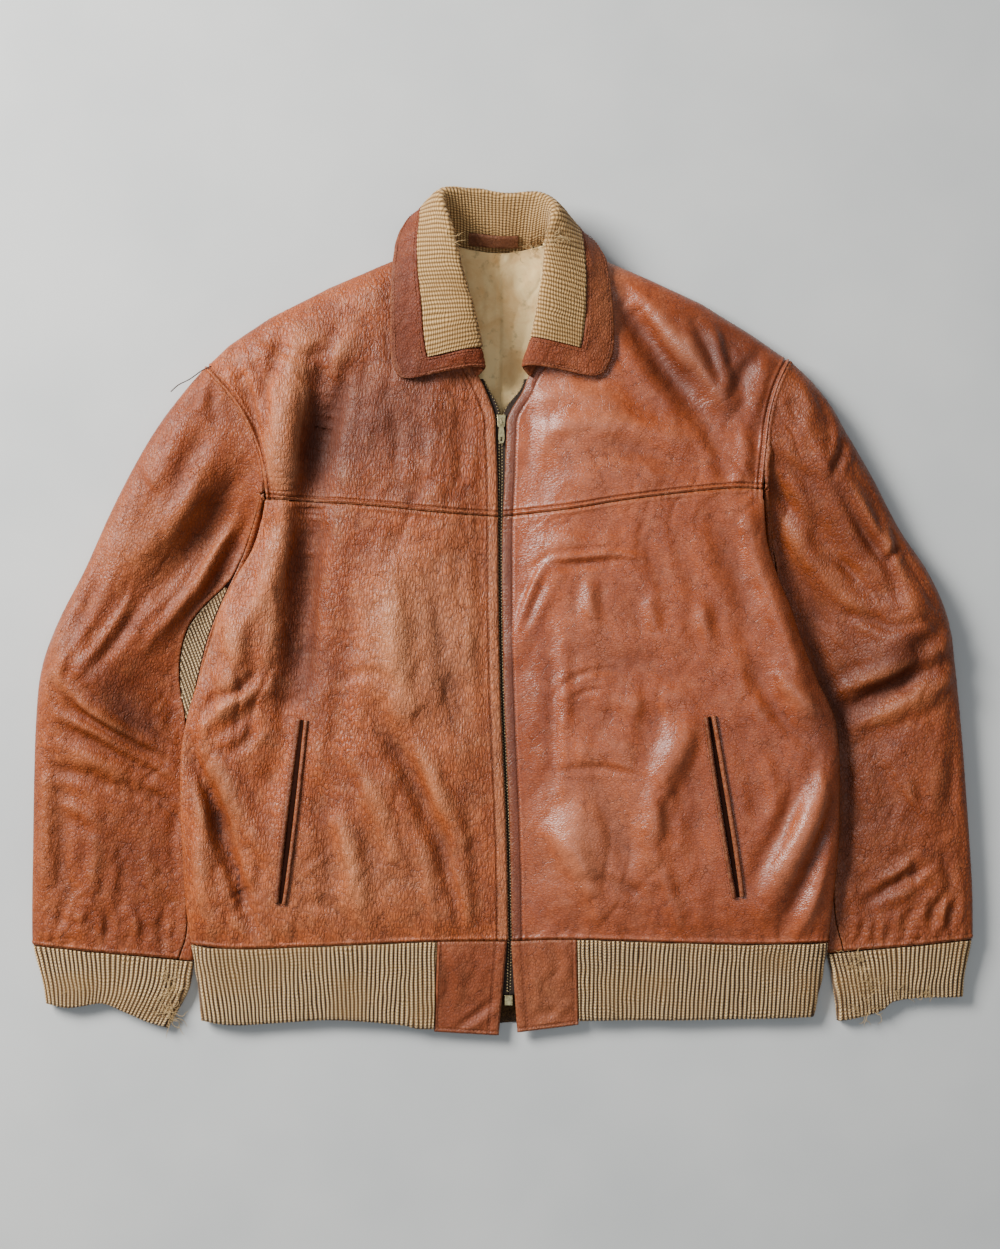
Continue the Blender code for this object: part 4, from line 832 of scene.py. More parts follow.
SLEEVE_CREASES = creases([
    (12, -0.9, -225, 124, -250, 75, -281, 32, -313, -10),
    (6, -1.7, -210, 86, -233, 46, -255, 12, -278, -16), (7, 1.8, -215, 107, -240, 62, -269, 18, -300, -22),
    (9, 1.5, -235, 148, -266, 92, -300, 46), (4.5, 1.8, -226, 80, -245, 49, -260, 15),
    (4, -1.5, -252, 49, -278, 12, -303, -17), (4.5, -1.5, -300, 20, -325, -22, -344, -46),
    (5, 1.3, -315, 12, -337, -22, -359, -50), (5, -1.2, -334, 46, -349, 10, -366, -22),
    (5, 1.0, -359, 10, -373, -19, -383, -46), (4.5, -1.2, -238, 205, -245, 183, -240, 156),
    (4, -1.1, -252, 198, -260, 180, -274, 171), (4, 1.0, -271, 178, -283, 161, -291, 148),
    (4, -1.6, -308, 122, -300, 107, -288, 96), (7, 1.2, -266, 164, -281, 130, -300, 96),
    (6, -1.3, -249, 148, -266, 122, -283, 80), (4.6, 2.8, -376, -53, -357, -70, -320, -100, -291, -117),
    (11, -2.2, -346, -56, -323, -75, -300, -106), (4.4, 2.3, -374, -85, -340, -101, -307, -121, -274, -143),
    (5, -1.7, -362, -80, -329, -102, -298, -122), (6, -1.2, -371, -99, -339, -116, -300, -138),
    (5, 1.4, -368, -31, -371, -43, -376, -56), (8, 1.6, -376, -108, -342, -124, -300, -140),
    (5, -1.3, -390, -133, -359, -135, -325, -150), (5, 1.1, -393, -158, -364, -164, -334, -181),
    (5, -1.2, -317, -150, -294, -158, -272, -181), (5, -1.1, -368, -176, -373, -210, -366, -248),
    (6, 1.2, -346, -167, -344, -201, -351, -244), (5, -1.1, -325, -192, -322, -226, -327, -265),
    (6, 1.1, -300, -184, -301, -218, -294, -260), (7, 1.6, -385, -133, -387, -192, -390, -248),
    (8, -1.0, -374, -137, -376, -192, -378, -248), (5, -1.0, -278, -167, -281, -201, -274, -244),
    (3.5, -1.6, -376, -269, -374, -256, -371, -248), (3.5, 1.3, -356, -273, -357, -259, -354, -249),
    (3.5, -1.6, -335, -276, -335, -262, -339, -250), (3.5, 1.3, -313, -279, -312, -266, -315, -254),
    (3.5, -1.4, -289, -283, -291, -269, -288, -259), (4, -2.0, 288, 159, 285, 135, 276, 115),
    (4.5, -2.6, 278, 111, 292, 91, 304, 69, 319, 49, 328, 34, 336, 6),
    (5.5, 1.8, 289, 114, 314, 71, 334, 32), (4.5, -1.6, 232, 132, 246, 122, 261, 110),
    (6, 1.6, 234, 115, 253, 96, 263, 66), (4, -1.5, 284, 46, 294, 37, 302, 30),
    (3.5, -1.7, 333, 57, 328, 49, 324, 42), (4, 1.5, 323, 86, 324, 69, 328, 52),
    (4, -1.4, 314, 122, 323, 102, 326, 80), (6, 1.3, 250, 198, 258, 173, 256, 148),
    (5, -1.1, 266, 188, 275, 164, 275, 139), (4, -1.5, 294, 0, 311, -6, 328, -12, 355, -6),
    (6, 1.4, 292, 12, 321, 6, 348, 8), (9, -2.4, 243, 46, 263, 12, 275, -31),
    (7, 1.6, 232, 96, 246, 71, 255, 46), (7, 1.3, 266, 46, 292, 12, 312, -22),
    (7, -2.2, 253, -6, 270, -40, 282, -79), (8, -3.6, 362, -29, 338, -53, 311, -70, 285, -87),
    (7, 3.0, 386, -19, 358, -36, 324, -53, 295, -65), (8, 1.9, 391, -46, 363, -65, 324, -87, 297, -99),
    (4, -1.3, 351, 1, 368, -12, 382, -11), (7, 1.3, 321, 46, 342, 12, 363, -22),
    (4, -1.1, 342, 46, 357, 20, 370, 1), (4, 1.7, 342, -142, 348, -158, 357, -169),
    (6, -1.1, 318, -116, 328, -150, 326, -176), (6, 1.2, 363, -108, 367, -142, 360, -184),
    (5, -1.0, 380, -74, 382, -124, 379, -176), (4, -1.7, 308, -248, 325, -235, 355, -216),
    (5, 1.4, 309, -235, 333, -220, 358, -201), (6, 1.1, 295, -218, 302, -248, 309, -278),
    (4, 1.1, 331, -244, 348, -233, 363, -216), (5, -1.2, 372, -201, 379, -226, 375, -256),
    (5, -1.0, 342, -192, 351, -218, 348, -248), (3.5, -1.8, 363, -265, 365, -250, 372, -240),
    (3.5, -1.6, 379, -269, 382, -254, 386, -240), (3, 1.6, 372, -267, 374, -250, 379, -240),
    (3.5, -1.4, 342, -276, 343, -260, 348, -249), (3.5, 1.2, 321, -278, 323, -265, 321, -252),
    (3.5, -1.4, 304, -281, 306, -269, 309, -259), (8, -1.4, 294, -124, 292, -176, 295, -226),
])
TAB_CREASES = creases([
    (4, -1.0, -53, -284, -47, -307, -50, -332), (4.5, 1.0, -43, -286, -36, -312, -40, -339),
    (3, -1.2, -40, -354, -22, -340, -7, -328), (3.5, 1.0, -34, -357, -17, -346, -4, -335),
    (4, -0.9, -24, -282, -22, -299, -28, -316), (4, -1.0, 40, -278, 46, -296, 42, -316),
    (4.5, 1.0, 51, -279, 56, -299, 54, -320), (4, -0.9, 23, -346, 37, -339, 54, -342),
    (4, 0.9, 32, -299, 28, -316, 32, -333), (3.5, 0.8, 59, -328, 49, -339, 39, -349),
])

# Patches of painted light and painted shade: centre, reach either way, and how much, from -1 to 1.
SHADES = [
    (-100, 160, 64, 81, -0.65), (-172, 182, 29, 68, 0.15), (-145, 156, 23, 68, -0.45),
    (-172, 122, 19, 60, -0.2), (-87, -6, 51, 76, 0.45), (-160, -22, 27, 94, -0.6),
    (-232, -22, 26, 51, 0.25), (-236, -158, 19, 68, -0.35), (-198, -244, 51, 34, 0.1),
    (-28, -22, 15, 128, 0.15), (-334, -65, 60, 42, -0.1), (-376, -31, 15, 51, 0.35),
    (-376, -184, 17, 76, 0.3), (-325, -201, 42, 51, -0.25), (83, 139, 60, 42, 0.25),
    (172, 216, 72, 53, -0.85), (125, 12, 76, 51, 0.05), (74, -22, 34, 42, 0.2), (74, -184, 51, 60, 0.5),
    (253, -184, 26, 51, 0.2), (278, -74, 26, 60, -0.7), (287, 80, 60, 94, -0.35), (338, -40, 42, 26, -0.6),
    (-162, 156, 17, 51, -0.25), (-70, 164, 60, 51, -0.12), (363, -74, 21, 26, 0.15),
    (311, -176, 42, 94, -0.5), (363, -201, 21, 51, 0.1), (-84, 266, 17, 64, -0.5), (88, 266, 19, 60, 0.8),
    (53, 250, 34, 60, 0.3), (-300, 62, 51, 42, 0.35), (-121, -226, 76, 51, 0.3), (49, 190, 42, 14, 0.3),
    (-91, -328, 21, 34, -0.15), (39, -328, 31, 38, 0.45), (-28, -333, 34, 38, -0.15),
    (30, -74, 15, 81, -0.35), (-53, -22, 34, 102, 0.25), (-215, 164, 26, 42, 0.1),
    (-315, -92, 24, 20, -0.55), (-349, -46, 22, 12, -0.3),
]

# Where the knit is worn through: the centre and the reach either way.
CUFF_FRAYS = {
    "right": ((-284, -312, 9, 14), (-280, -330, 12, 9), (-292, -340, 9, 7), (-276, -300, 5, 10)),
    "left": (
        (299, -296, 15, 9), (312, -318, 8, 14), (318, -338, 12, 8), (345, -322, 22, 5), (290, -330, 7, 10),
    ),
}
# Where yarn has pulled out: the centre, its spread, the number of ends and how far they reach.
CUFF_YARN = {
    "right": (
        (-283, -312, 8, 12, 26, 8), (-281, -334, 12, 8, 34, 10),
        (-276, -345, 10, 4, 16, 12), (-372, -322, 14, 2, 4, 5),
    ),
    "left": (
        (303, -297, 12, 8, 30, 7), (311, -318, 8, 10, 26, 7),
        (318, -341, 14, 5, 34, 9), (346, -322, 20, 3, 18, 6),
    ),
}
NECK_YARN = (
    (-34, 311, 12, 3, 14, 7), (6, 309, 10, 3, 10, 6), (30, 311, 12, 4, 30, 8), (44, 314, 6, 5, 22, 8),
)


def along_line(x, y, line, reach):
    """Distance from a smooth line and the share of the way along it, for the points within reach of it."""
    curve = smooth(line)(evenly(10 * len(line)))
    low, high = curve.min(axis=0) - reach, curve.max(axis=0) + reach
    near = np.nonzero((x > low[0]) & (x < high[0]) & (y > low[1]) & (y < high[1]))
    away = np.hypot(x[near][:, None] - curve[:, 0], y[near][:, None] - curve[:, 1])
    nearest = away.argmin(axis=-1)
    return near, away.min(axis=-1), nearest / (len(curve) - 1)


def crease_height(x, y, table, strength, by_width):
    """Soft troughs and ridges. Each trough is narrow at its floor and has low lips either side."""
    total = np.zeros(np.shape(x))
    for crease in table:
        near, away, share = along_line(x, y, crease.line, 3.5 * crease.half_width)
        fade = np.sin(np.pi * (0.04 + 0.92 * share)) ** 0.7
        d = away / crease.half_width
        shape = np.exp(-(d**2)) - 0.30 * np.exp(-((d - 2.0) ** 2) * 1.4)
        total[near] += (strength + by_width * crease.half_width) * crease.height * fade * shape
    return total


def noise(x, y, seed):
    """Smooth noise from -1 to 1 with a grain of one unit."""
    grid = np.random.default_rng(seed).uniform(-1, 1, (128, 128))
    ix, iy = np.floor(x).astype(int), np.floor(y).astype(int)
    tx, ty = x - ix, y - iy
    tx, ty = tx**3 * (tx * (6 * tx - 15) + 10), ty**3 * (ty * (6 * ty - 15) + 10)
    a, b = grid[ix % 128, iy % 128], grid[(ix + 1) % 128, iy % 128]
    c, d = grid[ix % 128, (iy + 1) % 128], grid[(ix + 1) % 128, (iy + 1) % 128]
    return (a + (b - a) * tx) * (1 - ty) + (c + (d - c) * tx) * ty


def turned(x, y, angle):
    """Coordinates along and across a direction given in degrees from the X axis."""
    c, s = math.cos(math.radians(angle)), math.sin(math.radians(angle))
    return x * c + y * s, y * c - x * s


def wrinkles(x, y, angle, length, width, seed):
    """Sharp-floored wrinkles that run along a direction and meet here and there. From -1 to about 0.3."""
    a, b = turned(x, y, angle)
    b = b + 0.9 * width * noise(a / (0.6 * length), b / (3 * width), seed + 1)
    n = noise(a / length, b / width, seed)
    n = n + 0.35 * noise(2 * a / length, 2.1 * b / width, seed + 2)
    return 0.3 - 1.3 * bell(n, 0.33)


def swell(x, y, size, seed):
    """Broad soft rises and hollows."""
    finer = noise(2.1 * x / size, 1.9 * y / size, seed + 5)
    return noise(x / size, y / size, seed) + 0.5 * finer


def spot(x, y, cx, cy, rx, ry):
    """A soft patch with the given centre and reach."""
    return np.exp(-(((x - cx) / rx) ** 2) - ((y - cy) / ry) ** 2)


def body_relief(x, y):
    """What the leather of the fronts and yokes does beyond the solids' own folds."""
    height = crease_height(x, y, BODY_CREASES, 1.2, 0.10)
    worn_side = 1 - ramp((x + 30) / 90)
    bark = wrinkles(x, y, 97, 34, 7.0, 11) * (0.45 + 0.3 * noise(x / 46, y / 60, 12))
    bark = bark * (0.9 + 0.6 * ramp((-x - 150) / 60))
    loose = wrinkles(x, y, 80, 60, 20, 17) * (0.5 + 0.5 * noise(x / 70, y / 70, 18))
    crackle = wrinkles(x, y, 60, 16, 9, 23) * 0.16 + wrinkles(x, y, 150, 22, 11, 27) * 0.12
    height = height + worn_side * (bark + 1.5 * loose) + (1 - worn_side) * (1.6 * crackle + 0.9 * loose)
    height = height + 1.3 * swell(x, y, 38, 31)
    # Small gathers, which fade out above the waist seam.
    gather = wrinkles(x, y, 90, 60, 12, 41) + 0.6 * np.sin(x / 2.1 + 2 * noise(x / 19, 0 * x, 43))
    height = height + 0.75 * gather * np.exp(-np.clip(y - WAIST_Y, 0, None) / 13)
    clear = ramp((in_from_side(x, y) - 2) / 16) * ramp((below_shoulder(x, y) - 1) / 14)
    zip_clear = 0.25 + 0.75 * ramp((np.abs(x) - 8) / 22)
    return height * (0.25 + 0.75 * clear) * zip_clear


def front_relief(x, y):
    """The relief of a front, which calms down round the pocket mouths."""
    share = evenly(40)[:, None]
    ends = [(np.array(mouth.top), np.array(mouth.bottom)) for mouth in POCKETS.values()]
    mouths = np.vstack([top * (1 - share) + bottom * share for top, bottom in ends])
    calm = ramp((from_nearest(x, y, mouths) - 7) / 16)
    return body_relief(x, y) * (0.15 + 0.85 * calm)


def sleeve_relief(x, y):
    """The sleeves' crinkles, which run down the arm, and their gathers above the cuffs."""
    right = x < 0
    height = crease_height(x, y, SLEEVE_CREASES, 1.25, 0.06)
    lean = np.where(right, wrinkles(x, y, 58, 30, 8.5, 51), wrinkles(x, y, 122, 34, 9.5, 53))
    low = wrinkles(x, y, 84, 26, 9, 57) + 0.7 * wrinkles(x, y, 20, 24, 13, 58)
    upper = ramp((y + 80) / 60)
    amount = 0.55 + 0.4 * noise(x / 40, y / 50, 59)
    height = height + (lean * upper + low * (1 - upper)) * amount + swell(x, y, 34, 61)
    # The cuff seams, which slope a little, and the gathers that fade out above them.
    seam_y = np.where(right, -282 - (x + 398) * 0.11, -277 + (x - 398) * 0.11)
    gather = wrinkles(x, y, 90, 50, 9, 63) + 0.7 * np.sin(x / 1.7 + 2.4 * noise(x / 15, 0 * x, 65))
    return height + 0.9 * gather * np.exp(-np.clip(y - seam_y, 0, None) / 15)


# ---- building a cut piece

def arc_from_start(place, axis):
    """Distance along the grid's lines from their start, in millimetres."""
    steps = np.linalg.norm(np.diff(place, axis=axis), axis=-1)
    pad = [(0, 0), (0, 0)]
    pad[axis] = (1, 0)
    return np.cumsum(np.pad(steps, pad), axis=axis)


def edge_distances(place):
    """How far each grid point lies from the four edges of its piece."""
    from_u, from_v = arc_from_start(place, 1), arc_from_start(place, 0)
    return {"u0": from_u, "u1": from_u[:, -1:] - from_u, "v0": from_v, "v1": from_v[-1:] - from_v}


def outward(place, outside, closed=False):
    """The normals of a grid of points."""
    if closed:
        wide = np.concatenate([place[:, -2:-1], place, place[:, 1:2]], axis=1)
        along_u = (wide[:, 2:] - wide[:, :-2])
    else:
        along_u = np.gradient(place, axis=1)
    along_v = np.gradient(place, axis=0)
    return unit(np.cross(along_u, along_v) * outside)


def smooth_mesh(name, points, faces, flip=False):
    """A smooth-shaded mesh from points in millimetres, its faces turned over if flip is set."""
    if flip:
        faces = [face[::-1] for face in faces]
    mesh = bpy.data.meshes.new(name)
    mesh.from_pydata((np.array(points) * MM).tolist(), [], faces)
    mesh.validate()
    mesh.shade_smooth()
    return mesh


def shell_mesh(name, outer, inner, closed, flip):
    """A closed wall between a fine outer grid and an inner one that has every third row and column."""
    step = 3
    far = inner[::step, ::step]
    if closed:
        outer, far = outer[:, :-1], far[:, :-1]
    outer_corners = np.arange(outer.size // 3)
    top = outer_corners.reshape(outer.shape[:2])
    low = len(outer_corners) + np.arange(far.size // 3).reshape(far.shape[:2])
    if closed:
        top, low = (np.concatenate([grid, grid[:, :1]], axis=1) for grid in (top, low))
    quads = np.stack([top[:-1, :-1], top[:-1, 1:], top[1:, 1:], top[1:, :-1]], axis=-1).reshape(-1, 4)
    under = np.stack([low[:-1, :-1], low[1:, :-1], low[1:, 1:], low[:-1, 1:]], axis=-1).reshape(-1, 4)
    faces = quads.tolist() + under.tolist()
    borders = [(top[0], low[0]), (top[-1][::-1], low[-1][::-1])]
    if not closed:
        borders += [(top[:, -1], low[:, -1]), (top[::-1, 0], low[::-1, 0])]
    for fine, coarse in borders:
        for k in range(len(coarse) - 1):
            strip = fine[k * step : k * step + step + 1][::-1]
            faces.append([*strip.tolist(), int(coarse[k]), int(coarse[k + 1])])
    points = np.concatenate([outer.reshape(-1, 3), far.reshape(-1, 3)])
    return smooth_mesh(name, points, faces, flip), outer_corners


def framed_mesh(name, outer, inner, cells, flip):
    """A closed wall over the kept cells of a grid."""
    rows, columns = outer.shape[:2]
    index = np.arange(rows * columns).reshape(rows, columns)
    r, c = np.nonzero(cells)
    quads = np.stack([index[r, c], index[r, c + 1], index[r + 1, c + 1], index[r + 1, c]], axis=-1)
    faces = quads.tolist() + (quads[:, ::-1] + rows * columns).tolist()
    wide = np.pad(cells, 1)
    for dr, dc, first, last in ((-1, 0, (0, 0), (0, 1)), (1, 0, (1, 1), (1, 0)), (0, 1, (0, 1), (1, 1)),
                                (0, -1, (1, 0), (0, 0))):
        br, bc = np.nonzero(cells & ~wide[1 + dr : 1 + dr + rows - 1, 1 + dc : 1 + dc + columns - 1])
        a, b = index[br + first[0], bc + first[1]], index[br + last[0], bc + last[1]]
        faces += np.stack([b, a, a + rows * columns, b + rows * columns], axis=-1).tolist()
    used, numbers = np.unique(np.array(faces), return_inverse=True)
    points = np.concatenate([outer.reshape(-1, 3), inner.reshape(-1, 3)])[used]
    return smooth_mesh(name, points, numbers.reshape(-1, 4).tolist(), flip), used[used < rows * columns]


def add_object(name, data):
    """A new object in the scene."""
    made = bpy.data.objects.new(name, data)
    bpy.context.scene.collection.objects.link(made)
    return made


def add_piece(name, mesh, material):
    """A piece that stays with the jacket."""
    piece = add_object(name, mesh)
    mesh.materials.append(material)
    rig.ride(piece, "jacket")
    return piece


def set_values(mesh, fields, outer_corners):
    """Numbers kept at the outer corners for the materials. The lining side stays at zero."""
    for label, field in fields.items():
        layer = mesh.attributes.new(label, "FLOAT", "POINT")
        values = np.zeros(len(mesh.vertices), np.float32)
        values[: len(outer_corners)] = np.asarray(field, np.float32).reshape(-1)[outer_corners]
        layer.data.foreach_set("value", values)


# One edge of a piece: ridges and grooves as (distance from the edge, half width, height), rows of stitches at
# distances from the edge, and how much the seam puckers.
Edge = namedtuple("Edge", "ridges stitches pucker")
# The rows of stitches to sew at the end: each one's path, which way is up along it, and its pitch.
STITCHES = []
STITCH_PITCH, FINE_PITCH, BAR_PITCH = 3.3, 3.0, 2.6


def grid_shares(counts, spacing):
    """The grid's places: three cells for each one of the count, spaced evenly or by a function."""
    even = [evenly(3 * count + 1) for count in counts]
    return np.meshgrid(*[spaced(share) if spaced else share for spaced, share in zip(spacing, even)])


def cut_piece(name, surface, across, along, wall, material, relief=None, edges=None, spacing=(None, None),
              outside=1, closed=False, extra=None, kind="tan_leather", keep=None):
    """A sewn piece: a fine grid on surface(u, v), moved along its own normals and given its wall."""
    u, v = grid_shares((across, along), spacing)
    flat = surface(u.ravel(), v.ravel()).reshape(*u.shape, 3)
    normal = outward(flat, outside, closed)
    x, y = flat[..., 0], flat[..., 1]
    move = relief(x, y) if relief else np.zeros_like(x)
    creased = move.copy()
    from_edge = edge_distances(flat)
    from_rim = np.minimum.reduce(list(from_edge.values()))
    if edges and not closed:
        move = move * (0.3 + 0.7 * ramp(from_rim / 6))
    seam = np.zeros_like(x)
    sewn = edges or {}
    for side, work in sewn.items():
        away = from_edge[side]
        run = from_edge["u0" if side in ("v0", "v1") else "v0"]
        pucker = np.sin(run * 1.35 + 2.6 * noise(run / 7, away / 30, 71))
        pucker = pucker * (0.5 + 0.5 * noise(run / 11, 0 * away, 73)) * np.exp(-away / 4.5)
        move = move + work.pucker * pucker
        for at, half, height in work.ridges:
            move = move + height * bell(away - at, half)
            if height < 0:
                seam = np.maximum(seam, bell(away - at, half * 1.3))
    if extra:
        added, fields = extra(flat, u, v, from_edge)
        move = move + added
    else:
        fields = {}
    inner = flat + normal * move[..., None]
    outer = inner + normal * wall
    if keep:
        centre_u, centre_v = (u[:-1, :-1] + u[1:, 1:]) / 2, (v[:-1, :-1] + v[1:, 1:]) / 2
        mesh, corners = framed_mesh(name, outer, inner, keep(centre_u, centre_v), outside < 0)
    else:
        mesh, corners = shell_mesh(name, outer, inner, closed, outside < 0)

    def clip(field):
        field = np.broadcast_to(field, x.shape)
        return field[:, :-1] if closed else field

    # hollow and crest follow the relief's troughs and ridges; the materials paint shade into the troughs and a
    # highlight onto the ridges.
    values = {"hollow": clip(np.clip(-creased / 5.0, 0, 1)), "crest": clip(np.clip(creased / 4.0, 0, 1)),
              "seam": clip(seam), "rim": clip(np.exp(-from_rim / 2.5))}
    values.update({key: clip(value) for key, value in fields.items()})
    set_values(mesh, values, corners)
    piece = add_piece(name, mesh, material)
    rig.replaces(piece, name.removesuffix("_cloth"))
    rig.slot(piece, kind)
    for side, work in sewn.items():
        for at in work.stitches:
            stitch_row(outer, normal, from_edge[side], side, at)
    return piece


def stitch_row(outer, normal, away, side, at):
    """Notes where the stitches of a row sit: parallel to an edge, at a set distance from it."""
    fields = [outer, normal, away]
    if side in ("u0", "u1"):
        fields = [np.swapaxes(field, 0, 1) for field in fields]
    if fields[2][0].mean() > fields[2][-1].mean():
        fields = [field[::-1] for field in fields]
    grid, normals, far = fields
    path, rise = (
        np.array([[np.interp(at, far[:, k], field[:, k, i]) for i in range(3)] for k in range(far.shape[1])])
        for field in (grid, normals)
    )
    STITCHES.append((path, rise, STITCH_PITCH))


def ring(middle, radius, side, up, count):
    """Corners round a thread."""
    angles = [2 * math.pi * k / count for k in range(count)]
    return [middle + radius * (side * math.cos(angle) + up * math.sin(angle)) for angle in angles]


def sew_line(path, rise, pitch, length=2.5, radius=0.28, lift=0.12):
    """The points and faces of one row of stitches: each a short six-sided thread with tapered ends."""
    run = np.concatenate([[0], np.cumsum(np.linalg.norm(np.diff(path, axis=0), axis=1))])
    at = lambda line, place: np.array([np.interp(place, run, column) for column in line.T])
    points, faces = [], []
    for centre in np.arange(pitch, run[-1] - pitch / 2, pitch):
        up = at(rise, centre)
        first, last = (at(path, centre + offset) + up * lift for offset in (-length / 2, length / 2))
        forward = (last - first) / max(np.linalg.norm(last - first), 1e-6)
        side = np.cross(forward, up)
        start = len(points)
        for share, size, drop in ((0, 0.45, -0.32), (0.18, 1, 0), (0.82, 1, 0), (1, 0.45, -0.32)):
            points += ring(first + (last - first) * share + up * drop, radius * size, side, up, 6)
        for step in range(start, start + 18, 6):
            for k in range(6):
                a, b = step + k, step + (k + 1) % 6
                faces.append([a, b, b + 6, a + 6])
        faces.append([start + k for k in range(6)][::-1])
        faces.append([start + 18 + k for k in range(6)])
    return points, faces


def join_lines(name, lines, material):
    """Rows of stitches or strands as one piece."""
    points, faces = [], []
    for some_points, some_faces in lines:
        start = len(points)
        points += list(some_points)
        faces += [[index + start for index in face] for face in some_faces]
    return add_piece(name, smooth_mesh(name, points, faces), material)


def strand(points, radius, sides=5, tip=0.35):
    """A thread through the points, finer at its free end."""
    line = smooth(points)(evenly(5 * len(points)))
    forward = unit(np.gradient(line, axis=0))
    side = unit(np.cross(forward, [0.13, 0.21, 0.97]))
    up = np.cross(side, forward)
    corners, faces = [], []
    for k, middle in enumerate(line):
        size = radius * (1 - (1 - tip) * (k / (len(line) - 1)) ** 3)
        corners += ring(middle, size, side[k], up[k], sides)
    for k in range(len(line) - 1):
        for j in range(sides):
            a, b = k * sides + j, k * sides + (j + 1) % sides
            faces.append([a, a + sides, b + sides, b])
    faces.append(list(range(sides)))
    faces.append([len(corners) - sides + j for j in range(sides)][::-1])
    return corners, faces


# ---- materials

def linear(code):
    """An sRGB colour written as hex, in the linear numbers that the shader takes."""
    values = [int(code[k : k + 2], 16) / 255 for k in (1, 3, 5)]
    return (*[v / 12.92 if v <= 0.04045 else ((v + 0.055) / 1.055) ** 2.4 for v in values], 1.0)


def put(tree, socket, value):
    """Links another node's output to a socket, or sets the socket's own value."""
    if isinstance(value, bpy.types.NodeSocket):
        tree.links.new(value, socket)
    else:
        socket.default_value = value


def add(tree, kind, inputs, output=0, **settings):
    """Adds a shader node with its inputs and settings, and gives one of its outputs."""
    made = tree.nodes.new("ShaderNode" + kind)
    for key, value in settings.items():
        setattr(made, key, value)
    for key, value in inputs.items():
        put(tree, made.inputs[key], value)
    return made.outputs[output]


def add_each(tree, kind, columns, *rows):
    """A node for each row of a table. The columns name the inputs, and a row may stop early."""
    return [add(tree, kind, dict(zip(columns, row))) for row in rows]


# The columns of a cloudy pattern, and of a value carried from one span of numbers to another.
CLOUD = ("Vector", "Scale", "Detail", "Roughness", "Distortion")
SPAN = ("Value", "From Min", "From Max", "To Min", "To Max")


def start_material(name):
    """A new material and its nodes."""
    material = bpy.data.materials.new(name)
    material.use_nodes = True
    return material, material.node_tree


def in_mm(tree, across=1.0, along=1.0, turn_by=0.0):
    """The piece's own coordinates in millimetres, scaled across and along, and turned about Z."""
    place = add(tree, "TexCoord", {}, "Object")
    scale = (1000 * across, 1000 * along, 1000 * across)
    return add(tree, "Mapping", {"Vector": place, "Scale": scale, "Rotation": (0, 0, turn_by)})


def kept_fields(tree, *labels):
    """The numbers that the piece keeps at its corners."""
    return [add(tree, "Attribute", {}, "Fac", attribute_name=label) for label in labels]


def lay_over(tree, colour, layers):
    """Colours laid over a first one. A layer is a pattern, its values where the layer starts and where it is
    full, how much the full layer covers, and the layer's colour."""
    for pattern, start, full, most, top in layers:
        cover = add(tree, "MapRange", {"Value": pattern, "From Min": start, "From Max": full, "To Max": most})
        colour = add(tree, "Mix", {0: cover, 6: colour, 7: linear(top)}, 2, data_type="RGBA")
    return colour


def finish_material(material, colour, rough, bumps, others):
    """Joins the looks to the shader. A bump is a pattern and its depth in millimetres."""
    tree = material.node_tree
    relief = {}
    for height, depth in bumps:
        relief = {"Normal": add(tree, "Bump", {"Height": height, "Distance": depth * MM, **relief})}
    for label, value in {"Base Color": colour, "Roughness": rough, **relief, **others}.items():
        put(tree, tree.nodes["Principled BSDF"].inputs[label], value)
    return material


# The dark of the leather's creases and cracks, which also serves as painted shade in the troughs and the shaded
# patches, and the leather's raw colour where a rim is rubbed through.
LEATHER_DIRT_AND_SHADE, LEATHER_RAW = "#3c1505", "#c98c62"


